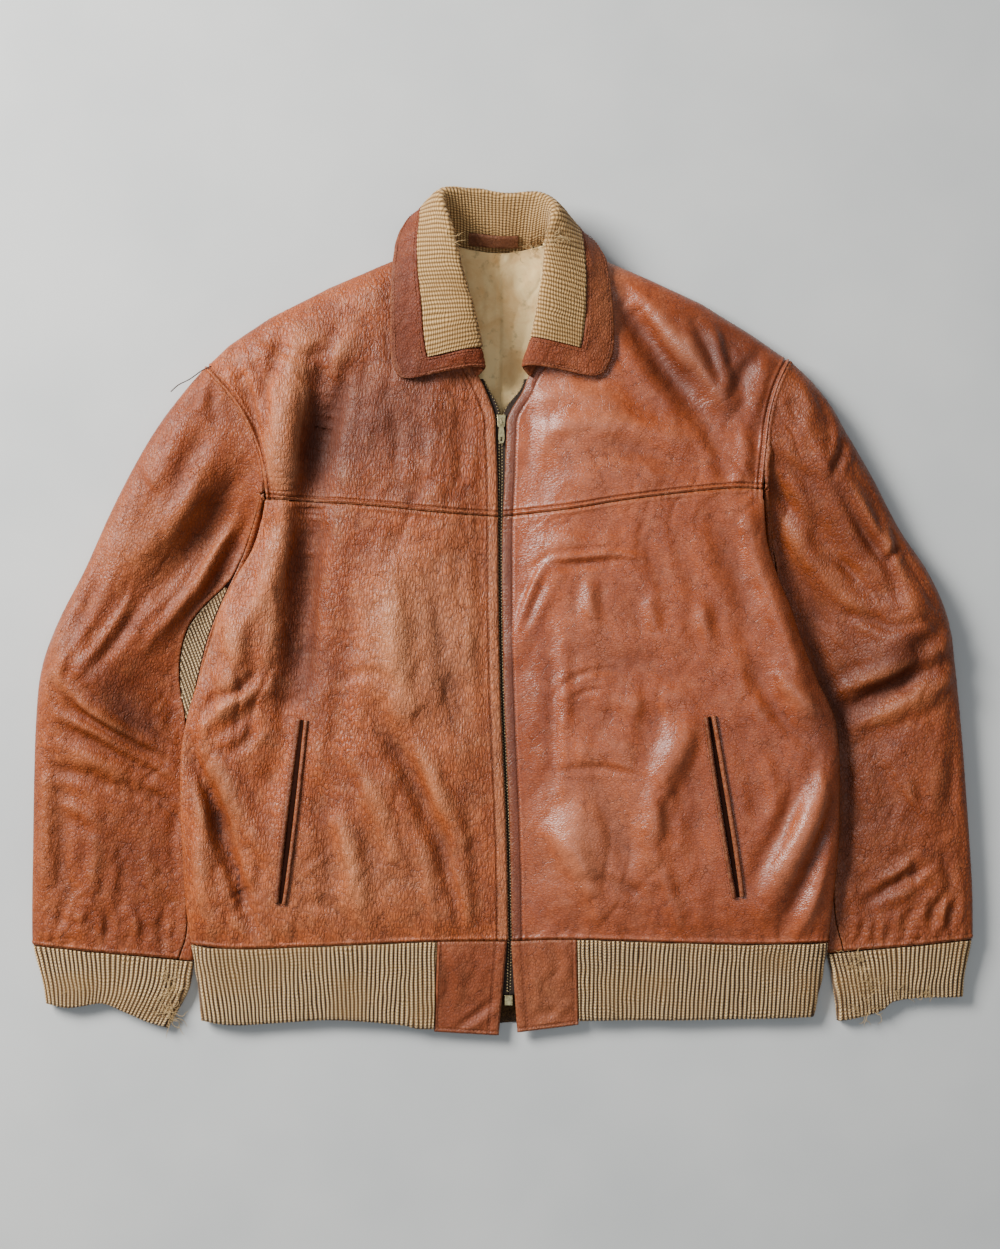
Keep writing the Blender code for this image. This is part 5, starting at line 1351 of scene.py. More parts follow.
def make_leather(name, base, dark, light, cell=(3.2, 7.0), lean=0.0, depth=0.30, lines=0.5, wide=13.0,
                 wide_depth=0.10, gloss=0.42, dry=0.12, pale=0.25, shine=0.30):
    """Pigment-dyed cowhide, tanned brown and worn for years: small raised cells with dark creases between them and a
    few longer cracks, with a painted highlight on the crests, painted shade in the troughs, and patches of painted
    light and painted shade. Real grain is finer than 1 mm and would not show, so its cells are drawn 2 to 3 mm wide.
    It gives a warm brown with a small glint and a thin dark line round every cell."""
    material, tree = start_material(name)
    flat = in_mm(tree)
    along = in_mm(tree, 1 / cell[0], 1 / cell[1], lean)
    small = in_mm(tree, 1 / 1.5, 1 / 2.1, lean + 0.4)
    broad = in_mm(tree, 1 / wide, 0.8 / wide, lean)
    shade, hollow, crest, sewn, rim = kept_fields(tree, "shade", "hollow", "crest", "seam", "rim")
    tone, faded, speckle, broken, cracked, fine, dull, pores = add_each(
        tree, "TexNoise", CLOUD,
        (flat, 1 / 36, 4.0, 0.6),
        (flat, 1 / 13, 4.0, 0.6),
        (along, 1 / 0.75, 4.0, 0.75),
        (along, 1 / 1.6, 3.0, 0.6),
        (flat, 1 / 15, 2.0, 0.55),
        (flat, 1 / 2.6, 4.0, 0.62, 0.8),
        (flat, 1 / 24, 3.0, 0.55),
        (along, 1 / 1.3, 3.0, 0.6),
    )
    sway = add(tree, "TexNoise", {"Vector": along, "Scale": 0.8, "Detail": 3.0, "Roughness": 0.65}, "Color")
    drift = add(tree, "TexNoise", {"Vector": flat, "Scale": 1 / 7, "Detail": 3.0}, "Color")
    less_sway = add(tree, "VectorMath", {0: sway, "Scale": 0.6}, operation="SCALE")
    lattices = []
    for place, push in ((along, less_sway), (small, sway), (broad, drift)):
        pushed = add(tree, "VectorMath", {0: place, 1: push}, operation="ADD")
        lattices.append(add(tree, "TexVoronoi", {"Vector": pushed, "Scale": 1.0}, feature="DISTANCE_TO_EDGE"))
    gap, grain, crack, unbroken, uncracked, rubbed = add_each(
        tree, "MapRange", SPAN,
        (lattices[0], 0.0, 0.38),
        (lattices[1], 0.0, 0.28),
        (lattices[2], 0.0, 0.05),
        (broken, 0.52, 0.76),
        (cracked, 0.44, 0.56),
        (fine, 0.42, 0.68),
    )
    gap = add(tree, "Math", {0: gap, 1: 0.7}, operation="POWER")
    cells = add(tree, "Math", {0: gap, 1: unbroken}, operation="MAXIMUM")
    crack = add(tree, "Math", {0: crack, 1: uncracked}, operation="MAXIMUM")
    rubbed = add(tree, "Math", {0: rim, 1: rubbed}, operation="MULTIPLY")
    colour = lay_over(tree, linear(base), (
        (tone, 0.36, 0.64, 0.8, dark),
        (faded, 0.48, 0.72, pale, light),
        (speckle, 0.50, 0.72, 0.16, light),
        # The shade field: painted light above its middle, painted shade below it.
        (shade, 0.5, 1.0, 0.7, light),
        (shade, 0.5, 0.0, 0.8, LEATHER_DIRT_AND_SHADE),
        (cells, 0.85, 0.0, lines, LEATHER_DIRT_AND_SHADE),
        (grain, 0.7, 0.0, 0.4 * lines, LEATHER_DIRT_AND_SHADE),
        (crack, 0.7, 0.0, 0.5, LEATHER_DIRT_AND_SHADE),
        # Painted shade in the troughs and a painted highlight on the crests.
        (hollow, 0.05, 1.0, 0.45, LEATHER_DIRT_AND_SHADE),
        (crest, 0.15, 1.0, 0.25, light),
        (sewn, 0.0, 1.0, 0.3, LEATHER_DIRT_AND_SHADE),
        (rubbed, 0.0, 1.0, 0.35, LEATHER_RAW),
    ))
    rough = 0.0
    for part in add_each(
        tree, "MapRange", SPAN,
        (dull, 0.3, 0.7, gloss - 0.06, gloss + dry),
        (hollow, 0.0, 1.0, 0.0, 0.18),
        (fine, 0.3, 0.7, -0.05, 0.07),
        (shade, 0.45, 0.0, 0.0, 0.06),
    ):
        rough = add(tree, "Math", {0: rough, 1: part}, operation="ADD")
    bumps = (cells, depth), (grain, 0.25 * depth), (crack, wide_depth), (pores, 0.8 * depth)
    return finish_material(material, colour, rough, bumps, {"Specular IOR Level": shine})


def make_knit(name, light, mid, dark, soil, chevron=0.5, yarn=0.32, groove=(0.42, 0.74), beads=0.5):
    """Wool rib, knitted in two-ply yarn and soiled. Each rib is a column of chained loops, pale on its crown and
    darkening towards the gaps between ribs and between loops as painted shade, with felted, dirty patches. Real loops
    are 1 to 1.5 mm high and would blur, so they are drawn a little over 2 mm high. It gives the matt, beaded stripes
    of old rib knit."""
    material, tree = start_material(name)
    flat = in_mm(tree)
    off_crown, course, soiled, torn = kept_fields(tree, "rib", "course", "soil", "torn")
    for operation, number in (("FRACT", 0), ("SUBTRACT", 0.5), ("ABSOLUTE", 0), ("MULTIPLY", 2.0)):
        off_crown = add(tree, "Math", {0: off_crown, 1: number}, operation=operation)
    slant = add(tree, "Math", {0: off_crown, 1: chevron}, operation="MULTIPLY")
    loop = add(tree, "Math", {0: course, 1: slant}, operation="ADD")
    for operation, number in (("MULTIPLY", math.pi), ("SINE", 0), ("ABSOLUTE", 0), ("POWER", 0.8)):
        loop = add(tree, "Math", {0: loop, 1: number}, operation=operation)
    fuzz, stains, fibres = add_each(
        tree, "TexNoise", CLOUD,
        (flat, 1 / 1.1, 4.0, 0.7),
        (flat, 1 / 9, 4.0, 0.55),
        (flat, 1 / 0.8, 4.0, 0.75),
    )
    colour = lay_over(tree, linear(light), (
        # Painted shade: darker away from each crown, between the loops and in the gaps between ribs.
        (off_crown, 0.10, 0.60, 1.0, mid),
        (loop, 0.85, 0.25, beads, dark),
        (off_crown, *groove, 1.0, dark),
        (fuzz, 0.45, 0.8, 0.40, mid),
        (soiled, 0.45, 1.0, 0.40, soil),
        (stains, 0.5, 0.8, 0.30, soil),
        (torn, 0.3, 1.0, 0.30, dark),
    ))
    woolly = {"Specular IOR Level": 0.2, "Sheen Weight": 0.15, "Sheen Roughness": 0.5}
    return finish_material(material, colour, 0.95, ((loop, yarn), (fibres, 0.35)), woolly)


def make_lining():
    """Cotton-viscose lining in plain weave, crumpled and stained at the neck, with painted shade in its hollows. Its
    threads lie about 0.35 mm apart and are too fine to show one by one. It gives a matt, dull beige with brown
    soiling."""
    material, tree = start_material("cotton_lining")
    flat = in_mm(tree)
    hollow, = kept_fields(tree, "hollow")
    stains, spots, crumple = add_each(
        tree, "TexNoise", CLOUD,
        (flat, 1 / 26, 4.0, 0.65, 0.6),
        (flat, 1 / 7, 4.0, 0.55),
        (flat, 1 / 6, 3.0, 0.55),
    )
    colour = lay_over(tree, linear("#ffdfa0"), (
        (stains, 0.40, 0.68, 1.0, "#e8ba78"),
        (spots, 0.58, 0.75, 0.5, "#6f4c28"),
        # Painted shade in the hollows of the lining's relief.
        (hollow, 0.0, 0.8, 0.4, "#4f351a"),
    ))
    weave = add(tree, "TexWave", {"Vector": flat, "Scale": 0.9, "Distortion": 0.6, "Detail": 1.0}, "Fac")
    return finish_material(material, colour, 0.78, ((weave, 0.06), (crumple, 0.5)), {"Sheen Weight": 0.15})


def make_plain(name, colour, rough, metallic=0.0, patch="#2a1a10", patch_size=1.5, amount=0.5, grain=0.05,
               shine=0.5):
    """A dyed thread or tape, or cast brass gone dull: its colour darkened in patches, with a fine grain."""
    material, tree = start_material(name)
    flat = in_mm(tree)
    worn, fine = add_each(
        tree, "TexNoise", CLOUD, (flat, 1 / patch_size, 4.0, 0.65), (flat, 1 / 0.5, 3.0, 0.55))
    mixed = lay_over(tree, linear(colour), ((worn, 0.42, 0.72, amount, patch),))
    dullness, = add_each(tree, "MapRange", SPAN, (worn, 0.3, 0.7, rough - 0.1, rough + 0.12))
    return finish_material(
        material, mixed, dullness, ((fine, grain),), {"Metallic": metallic, "Specular IOR Level": shine})


def make_floor():
    """Painted matt board. It gives a plain, pale grey."""
    material, tree = start_material("pale_board")
    tone, = add_each(tree, "TexNoise", CLOUD, (in_mm(tree), 1 / 160, 3.0, 0.55))
    colour = lay_over(tree, linear("#c0c2c1"), ((tone, 0.35, 0.65, 1.0, "#c9cac8"),))
    return finish_material(material, colour, 0.85, (), {})


LEATHER_BARK = make_leather("cowhide_right_front", "#ae5526", "#883e1a", "#d69064", cell=(2.5, 7.2), lean=0.1,
                            depth=0.44, lines=0.52, wide=15.0, wide_depth=0.18, gloss=0.40, shine=0.38)
LEATHER_SMOOTH = make_leather("cowhide_left_front", "#a85026", "#90401b", "#c97f5c", cell=(3.3, 2.0),
                              lean=0.1, depth=0.15, lines=0.42, wide=10.0, wide_depth=0.13, gloss=0.31,
                              shine=0.50)
LEATHER_SLEEVE = make_leather("cowhide_sleeves", "#97481f", "#7f3815", "#bd7346", cell=(2.6, 4.0), lean=0.5,
                              depth=0.31, lines=0.47, wide=12.0, wide_depth=0.24, gloss=0.42, shine=0.34)
LEATHER_COLLAR = make_leather("cowhide_collar", "#8a3f1f", "#763214", "#ad6a44", cell=(2.1, 3.2), lean=0.3,
                              depth=0.32, lines=0.55, wide=9.0, wide_depth=0.14, gloss=0.50, shine=0.25)
LEATHER_TAB = make_leather("cowhide_tabs", "#924a2a", "#7b3a1d", "#b4724d", cell=(2.3, 3.2), lean=0.2,
                           depth=0.24, lines=0.40, wide=11.0, wide_depth=0.16, gloss=0.42)
LEATHER_WELT = make_leather("cowhide_welts", "#9a5332", "#763a20", "#b87a58", cell=(2.6, 4.0), lean=0.3,
                            depth=0.24, lines=0.4, wide=9.0, gloss=0.36)
LEATHER_LOOP = make_leather("cowhide_loop", "#6f4127", "#4a2816", "#8c5a38", cell=(2.4, 3.0), depth=0.2,
                            lines=0.4, wide=8.0, gloss=0.5)
RIB = make_knit("wool_rib", "#fcdba4", "#ba8d55", "#291405", "#8f693d", chevron=0.7, yarn=0.6, beads=0.85)
# A darker copy of the rib knit, for the gussets under the arms.
RIB_DARKER = make_knit("wool_rib_underarm", "#eed2a2", "#b08d5c", "#2a170a", "#7d5e3c", chevron=0.7, yarn=0.6,
                      beads=0.85)
RIB_COLLAR = make_knit("wool_rib_collar", "#dab27a", "#a8814c", "#54391c", "#876237", chevron=0.0, yarn=0.5,
                       groove=(0.66, 1.0), beads=0.7)
LINING_CLOTH = make_lining()
DARK_CLOTH = make_plain("zip_tape_cotton", "#2b1d14", 0.9, patch="#140d09", patch_size=3)
# Near-black cloth for the pocket facings: painted shadow in the slits.
SHADED_CLOTH = make_plain("pocketing_cotton", "#26110a", 1.0, patch="#120806", patch_size=3, shine=0.05)
THREAD = make_plain("sewing_thread", "#8a4a2c", 0.75, patch="#5a2a16", patch_size=2)
LOOSE_THREAD = make_plain("loose_thread", "#3f2b27", 0.75)
YARN = make_plain("frayed_yarn", "#b99b6c", 0.95, patch="#7d5c34", patch_size=3)
BRASS = make_plain("aged_brass", "#a89c74", 0.38, 1.0, patch="#4e3f31", patch_size=2.2, amount=0.7,
                   grain=0.02)
BRASS_TEETH = make_plain("aged_brass_teeth", "#8a7a58", 0.42, 1.0, patch="#2e241a", patch_size=2, amount=0.8)
FLOOR = make_floor()


# ---- the leather pieces

STRIP = 9.0
STRIP_RIDGES = ((0.0, 0.9, -1.0), (STRIP / 2, STRIP / 3, 0.45), (STRIP, 0.8, -0.75), (STRIP + 1.8, 1.1, 0.35))
STRIP_STITCHES = (STRIP - 0.1,)

# The edges' sewing. A folded, topstitched edge rolls down at its rim, and its stitches sit in a groove.
WAIST_SEW = Edge(((0.0, 1.2, -0.9), (2.4, 1.3, 0.5)), (), 0.55)
YOKE_UNDER = Edge(((0.0, 0.9, -0.55), (2.6, 1.4, 0.35)), (), 0.6)
YOKE_OVER = Edge(((0.2, 0.7, -0.3), (1.9, 1.0, 0.85), (3.7, 0.75, -0.85), (5.6, 1.3, 0.35)), (3.7,), 0.6)
FRONT_STRIP = Edge(STRIP_RIDGES, STRIP_STITCHES, 0.28)
ARMHOLE_BODY = Edge(((0.0, 0.7, -0.5), (1.9, 1.1, 1.3), (4.3, 0.8, -0.9), (6.4, 1.2, 0.5)), (4.3,), 0.3)
ARMHOLE_SLEEVE = Edge(((0.0, 1.1, -1.2), (3.0, 1.5, 0.6)), (), 0.9)
PLAIN_SEW = Edge(((0.0, 1.2, -0.7),), (), 0.3)
TAB_TOP = Edge(((0.0, 1.0, -0.7),), (), 0.2)
TAB_RIM = Edge(((0.0, 0.8, -0.6), (3.2, 0.8, -0.45), (1.6, 0.9, 0.2)), (3.2,), 0.1)
TAB_ZIP_RIM = Edge(STRIP_RIDGES, STRIP_STITCHES, 0.2)
LOOP_RIM = Edge(((0.0, 0.8, -0.6),), (), 0.0)


def paint_light_and_shade(patches, strip=0.0):
    """Extra numbers for the material: patches of painted light and painted shade, and a strip along the front edge
    painted lighter for a positive amount and darker for a negative one.
    """

    def fields(flat, u, v, from_edge):
        x, y = flat[..., 0], flat[..., 1]
        shade = sum((patch[4] * spot(x, y, *patch[:4]) for patch in patches), np.zeros_like(x))
        shade = shade + strip * (from_edge["u1"] < STRIP)
        return 0, {"shade": 0.5 + 0.5 * np.clip(shade, -1, 1)}

    return fields


# Painted light and painted shade from the patches.
PAINTED_LIGHT_AND_SHADE = paint_light_and_shade(SHADES)


def build_fronts():
    """The fronts, the yokes and the back. Gives the fronts by side."""
    waist = smooth(WAIST_SEAM)
    gap = SEAM_GAP / 2
    fronts = {}
    for side, seam, front, yoke_seam, armhole, shoulder, neck, leather, strip in (
        ("right", right_side, right_front_edge, YOKE_SEAM_RIGHT, ARMHOLE_RIGHT, SHOULDER_RIGHT,
         FRONT_NECK_RIGHT, LEATHER_BARK, 0.35),
        ("left", left_side, left_front_edge, YOKE_SEAM_LEFT, ARMHOLE_LEFT, SHOULDER_LEFT,
         FRONT_NECK_LEFT, LEATHER_SMOOTH, -0.85),
    ):
        yoke = smooth(yoke_seam)
        hem = part_of(waist, 0.0 if side == "right" else 1.0, share_at_x(waist, front(WAIST_SEAM[4][1])))
        panel = four_sided(hem, yoke, edge_by_y(seam, hem(0.0)[1], yoke_seam[0][1]),
                           edge_by_y(front, hem(1.0)[1], yoke_seam[-1][1]))
        # The strip along each front edge is painted light on the right front and painted shade on the left front.
        worn = {"outside": 1 if side == "right" else -1, "extra": paint_light_and_shade(SHADES, strip)}
        fronts[side] = cut_piece(
            f"front_{side}_cloth", on_surface(panel, body_top, (0, -2 * gap)), 50, 68, LEATHER, leather,
            relief=front_relief, **worn,
            spacing=(crowd(0, 1, tightness=4, reach=0.035), crowd(0, 1, tightness=3, reach=0.025)),
            edges={"v0": WAIST_SEW, "v1": YOKE_UNDER, "u1": FRONT_STRIP})
        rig.sheet(fronts[side], flat=(0.275, 0.380), area=0.098, held="laid", rests_on=["back_cloth"])
        edge = [(float(front(y)), y) for y in (yoke_seam[-1][1], 118, 150, 167, 187)] + neck
        upper = four_sided(yoke, smooth(shoulder), smooth(armhole), smooth(edge))
        piece = cut_piece(
            f"yoke_{side}_cloth", on_surface(upper, body_top, (0, 1.5 * gap)), 44, 40, LEATHER, leather,
            relief=body_relief, **worn,
            spacing=(crowd(0, 1, tightness=4, reach=0.04), crowd(0, 1, tightness=3, reach=0.04)),
            edges={"v0": YOKE_OVER, "u0": ARMHOLE_BODY, "u1": FRONT_STRIP, "v1": PLAIN_SEW})
        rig.sheet(piece, flat=(0.255, 0.225), area=0.037, held="laid", rests_on=["back_cloth"])
    back_right = smooth([(float(right_side(y)), y) for y in range(-281, 80, 24)] + ARMHOLE_RIGHT)
    back_left = smooth([(float(left_side(y)), y) for y in range(-279, 84, 24)] + ARMHOLE_LEFT)
    top = smooth(SHOULDER_RIGHT[:-1] + BACK_NECK + SHOULDER_LEFT[-2::-1])
    back = four_sided(waist, top, back_right, back_left)
    piece = cut_piece(
        "back_cloth", on_surface(back, body_under, (0, -gap)), 40, 40, LEATHER, LEATHER_SMOOTH, outside=-1,
        spacing=(crowd(0, 1, tightness=5), crowd(0.8, 1, tightness=2.5, reach=0.12)), extra=PAINTED_LIGHT_AND_SHADE)
    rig.sheet(piece, flat=(0.555, 0.590), area=0.285, held="laid", rests_on=["floor"])
    return fronts


# How far a sleeve's first row lies in under the body's armhole edge, and the share of its length that does.
SLEEVE_TUCK, TUCK_SHARE = 2.1, 0.012


def tucked(surface, way):
    """The same surface with its first row drawn on and inward, to lie under its neighbour's edge."""

    def placed(u, v):
        back = unit(surface(u, 0 * v) - surface(u, 0 * v + TUCK_SHARE))
        drawn_in = back + np.array([-SLEEVE_TUCK * way, 0.0, -0.2])
        return surface(u, v) + drawn_in * np.clip(1 - v / TUCK_SHARE, 0, 1)[:, None]

    return placed


def build_arms():
    """The sleeves, the knit gussets under the arms and the cuffs."""
    gap = SLEEVE_SEAM_GAP
    for side, sections, folds, armhole, seams, cuff, edge, way, gusset_width, gusset_area in (
        ("right", SLEEVE_RIGHT, SLEEVE_FOLDS_RIGHT, ARMHOLE_RIGHT, SLEEVE_SEAM_RIGHT,
         CUFF_RIGHT, CUFF_EDGE_RIGHT, -1, 0.030, 0.0017),
        ("left", SLEEVE_LEFT, SLEEVE_FOLDS_LEFT, ARMHOLE_LEFT, SLEEVE_SEAM_LEFT,
         CUFF_LEFT, CUFF_EDGE_LEFT, 1, 0.018, 0.0008),
    ):
        ring = sleeve_ring(
            sections, SLEEVE_TURN_Z, SLEEVE_TURN_IN, LEATHER, folds, smooth(armhole), way)
        top_seam, under_seam = smooth_columns(seams)
        top = stretch(ring, 0.0, lambda at: top_seam(at) - gap)
        under = stretch(ring, lambda at: under_seam(at) + gap, 2.0)
        gusset = stretch(
            ring, lambda at: top_seam(at) + GUSSET_GAP, lambda at: under_seam(at) - GUSSET_GAP / 2,
            GUSSET_FROM, GUSSET_TO)
        piece = cut_piece(
            f"sleeve_top_{side}_cloth", tucked(top, way), 26, 88, LEATHER, LEATHER_SLEEVE,
            relief=lambda x, y: sleeve_relief(x, y) * ramp(sleeve_inset(x, y, sections) / 12),
            spacing=(crowd(0, tightness=3, reach=0.08), crowd(0, 1, tightness=3, reach=0.02)), outside=way,
            edges={"v0": ARMHOLE_SLEEVE, "v1": WAIST_SEW}, extra=PAINTED_LIGHT_AND_SHADE)
        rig.sheet(piece, flat=(0.180, 0.505), area=0.075, held="laid", rests_on=[f"sleeve_under_{side}_cloth"])
        piece = cut_piece(
            f"sleeve_under_{side}_cloth", tucked(under, way), 18, 46, LEATHER, LEATHER_SLEEVE,
            spacing=(crowd(0.04, 1.0), None), outside=way, extra=PAINTED_LIGHT_AND_SHADE)
        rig.sheet(piece, flat=(0.185, 0.505), area=0.078, held="laid", rests_on=["floor"])
        piece = cut_piece(
            f"gusset_{side}_cloth", gusset, 44, 40, LEATHER, RIB_DARKER, outside=way, kind="rib_knit",
            extra=rib_extra(GUSSET_RIBS, 0.7, across=(0.93, 0.37)))
        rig.sheet(piece, flat=(gusset_width, 0.120), area=gusset_area, held="laid", rests_on=["back_cloth"])
        tube = sleeve_ring(cuff, CUFF_FOLD_Z, CUFF_TURN_IN, KNIT)
        worn = profile(*zip(*edge))

        def cuff_surface(u, v):
            place = tube(2 * u, v)
            place[..., 1] += worn(np.where(u < 0.5, 2 * u, 2 - 2 * u)) * v**2
            return place

        piece = cut_piece(
            f"cuff_{side}_cloth", cuff_surface, 150, 9, RIB_GROUND, RIB, outside=way, closed=True,
            spacing=(crowd(0, 0.5, 1.0, tightness=1.5), None), kind="rib_knit",
            extra=rib_extra(CUFF_RIBS, 1.15, frayed=CUFF_FRAYS[side]))
        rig.sheet(piece, flat=(0.250, 0.060), area=0.0145, held="stretched", rests_on=["floor"])


def sleeve_inset(x, y, sections):
    """How far in a point lies from the sleeve's outer fold, roughly."""
    return from_nearest(x, y, smooth([row.outer for row in sections])(evenly(60)))


# ---- the rib knit

# From one rib to the next. The sway and the courses make the ribs a little uneven.
CUFF_RIBS = 3.5
HEM_RIBS = 3.6
GUSSET_RIBS = 2.9
COLLAR_RIBS = 3.4
# Knit that stands no higher than this lies underneath and is not frayed.
UNDERSIDE_Z = 4.2


def rib_extra(pitch, depth, frayed=(), across=None, courses=2.4, sway_by=0.4):
    """Ribs that run along v, or square to a direction: rounded cords with narrow gaps, a little uneven, and
    thinner where the knit is worn."""

    def fields(flat, u, v, from_edge):
        x, y = flat[..., 0], flat[..., 1]
        run, rise = from_edge["u0"].mean(axis=0)[None, :] + 0 * u, from_edge["v0"]
        if across:
            run, rise = across[0] * x + across[1] * y, across[1] * x - across[0] * y
        sway = 1.4 * noise(run / 44, rise / 70, 91) + 0.3 * noise(run / 7, rise / 12, 92)
        phase = run / pitch + sway_by * sway
        wave = np.abs(np.sin(np.pi * phase)) ** 0.7
        rough = 0.14 * noise(run / 1.6, rise / 2.2, 93)
        torn = np.zeros_like(run)
        for fray in frayed:
            torn = np.maximum(torn, spot(x, y, *fray) * (flat[..., 2] > UNDERSIDE_Z))
        ragged = 0.9 * noise(x / 1.8, y / 1.8, 95) + 0.7 * noise(x / 4.5, y / 4.5, 96)
        height = depth * wave * (1 - 0.75 * torn) + rough * (1 + torn) + 0.85 * torn * ragged
        height = height - 0.5 * np.exp(-from_edge["v0"] / 1.5) + 0.7 * noise(run / 17, rise / 30, 97)
        return height, {"rib": phase, "course": rise / courses + 0.6 * noise(run / 9, rise / 9, 94),
                        "torn": torn, "soil": 0.5 + 0.5 * noise(x / 33, y / 21, 98)}

    return fields


def tab_relief(x, y):
    """The creases of the tabs at the front of the waist."""
    soft = 0.3 * wrinkles(x, y, 80, 30, 11, 101)
    return crease_height(x, y, TAB_CREASES, 1.0, 0.0) + soft + 0.5 * swell(x, y, 22, 102)


def tab_height(x, y):
    """The tabs lie down from the front's height at the waist seam to their lower edge."""
    return TAB_LOW_Z + (body_top(x, WAIST_Y + 0 * y) - TAB_LOW_Z) * ramp((y - TAB_FOOT_Y) / TAB_FALL)


def build_hem():
    """The rib waistband and the leather tabs at its front ends."""
    rows = by_row(BAND)
    waist = smooth(WAIST_SEAM)
    seam = waist(evenly(200))
    free = smooth(BAND_EDGE)(evenly(200))

    def band(u, v):
        right, left, front, fold = np.moveaxis(rows(v), -1, 0)
        end_right, end_left = TAB_RIGHT.start - 0.6 - 2.9 * v, TAB_LEFT.end + 0.6 + 2.0 * v
        first, back, last = end_right - right, left - right, left - end_left
        way = u * (first + back + last)
        on_first, on_last = way < first, way > first + back
        x = np.where(on_last, left - (way - first - back), right + way - first)
        x = np.where(on_first, end_right - way, x)
        inward = np.minimum(np.abs(way - first), np.abs(way - first - back))
        level = np.where(on_first | on_last, front, KNIT)
        top = np.interp(x, seam[:, 0], seam[:, 1]) - WAIST_GAP
        y = top + v * (np.interp(x, free[:, 0], free[:, 1]) - top)
        return np.stack([x, y, fold + (level - fold) * turn(inward, BAND_TURN_IN)], axis=-1)

    places = evenly(401)
    finer_in_front = by_weight(places, np.where((places > 0.235) & (places < 0.765), 0.42, 1.0))
    piece = cut_piece(
        "waistband_cloth", band, 430, 7, RIB_GROUND, RIB, outside=1, spacing=(finer_in_front, None),
        extra=rib_extra(HEM_RIBS, 1.2), kind="rib_knit")
    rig.sheet(piece, flat=(1.04, 0.070), area=0.072, held="stretched", rests_on=["floor"])
    for side, tab, over, zip_side, far_side in (
        ("right", TAB_RIGHT, (0.0, 1.3), "u1", "u0"),
        ("left", TAB_LEFT, (-1.3, 0.0), "u0", "u1"),
    ):
        top = part_of(waist, share_at_x(waist, tab.start + over[0]), share_at_x(waist, tab.end + over[1]))
        plan = four_sided(
            smooth([tab.low_start, tab.low_end]), top,
            smooth([tab.low_start, tuple(top(0.0))]), smooth([tab.low_end, tuple(top(1.0))]),
        )
        piece = cut_piece(
            f"waist_tab_{side}_cloth", on_surface(plan, tab_height, (0, -WAIST_GAP)), 18, 22, TAB,
            LEATHER_TAB, relief=tab_relief, extra=PAINTED_LIGHT_AND_SHADE, spacing=(crowd(0, 1, tightness=3, reach=0.06),) * 2,
            edges={"v0": TAB_RIM, zip_side: TAB_ZIP_RIM, far_side: TAB_RIM, "v1": TAB_TOP})
        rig.sheet(piece, flat=(0.061, 0.075), held="laid", rests_on=["waistband_cloth"])


# ---- collar, lining and loop

BACK_SEAM_FRAY = ((-34, 312, 14, 6), (6, 308, 12, 6), (30, 312, 13, 8), (44, 318, 8, 8))


def collar_relief(x, y):
    """The small creases of the collar's border."""
    return 0.35 * wrinkles(x, y, 40, 16, 8, 111) + 0.5 * swell(x, y, 17, 112)


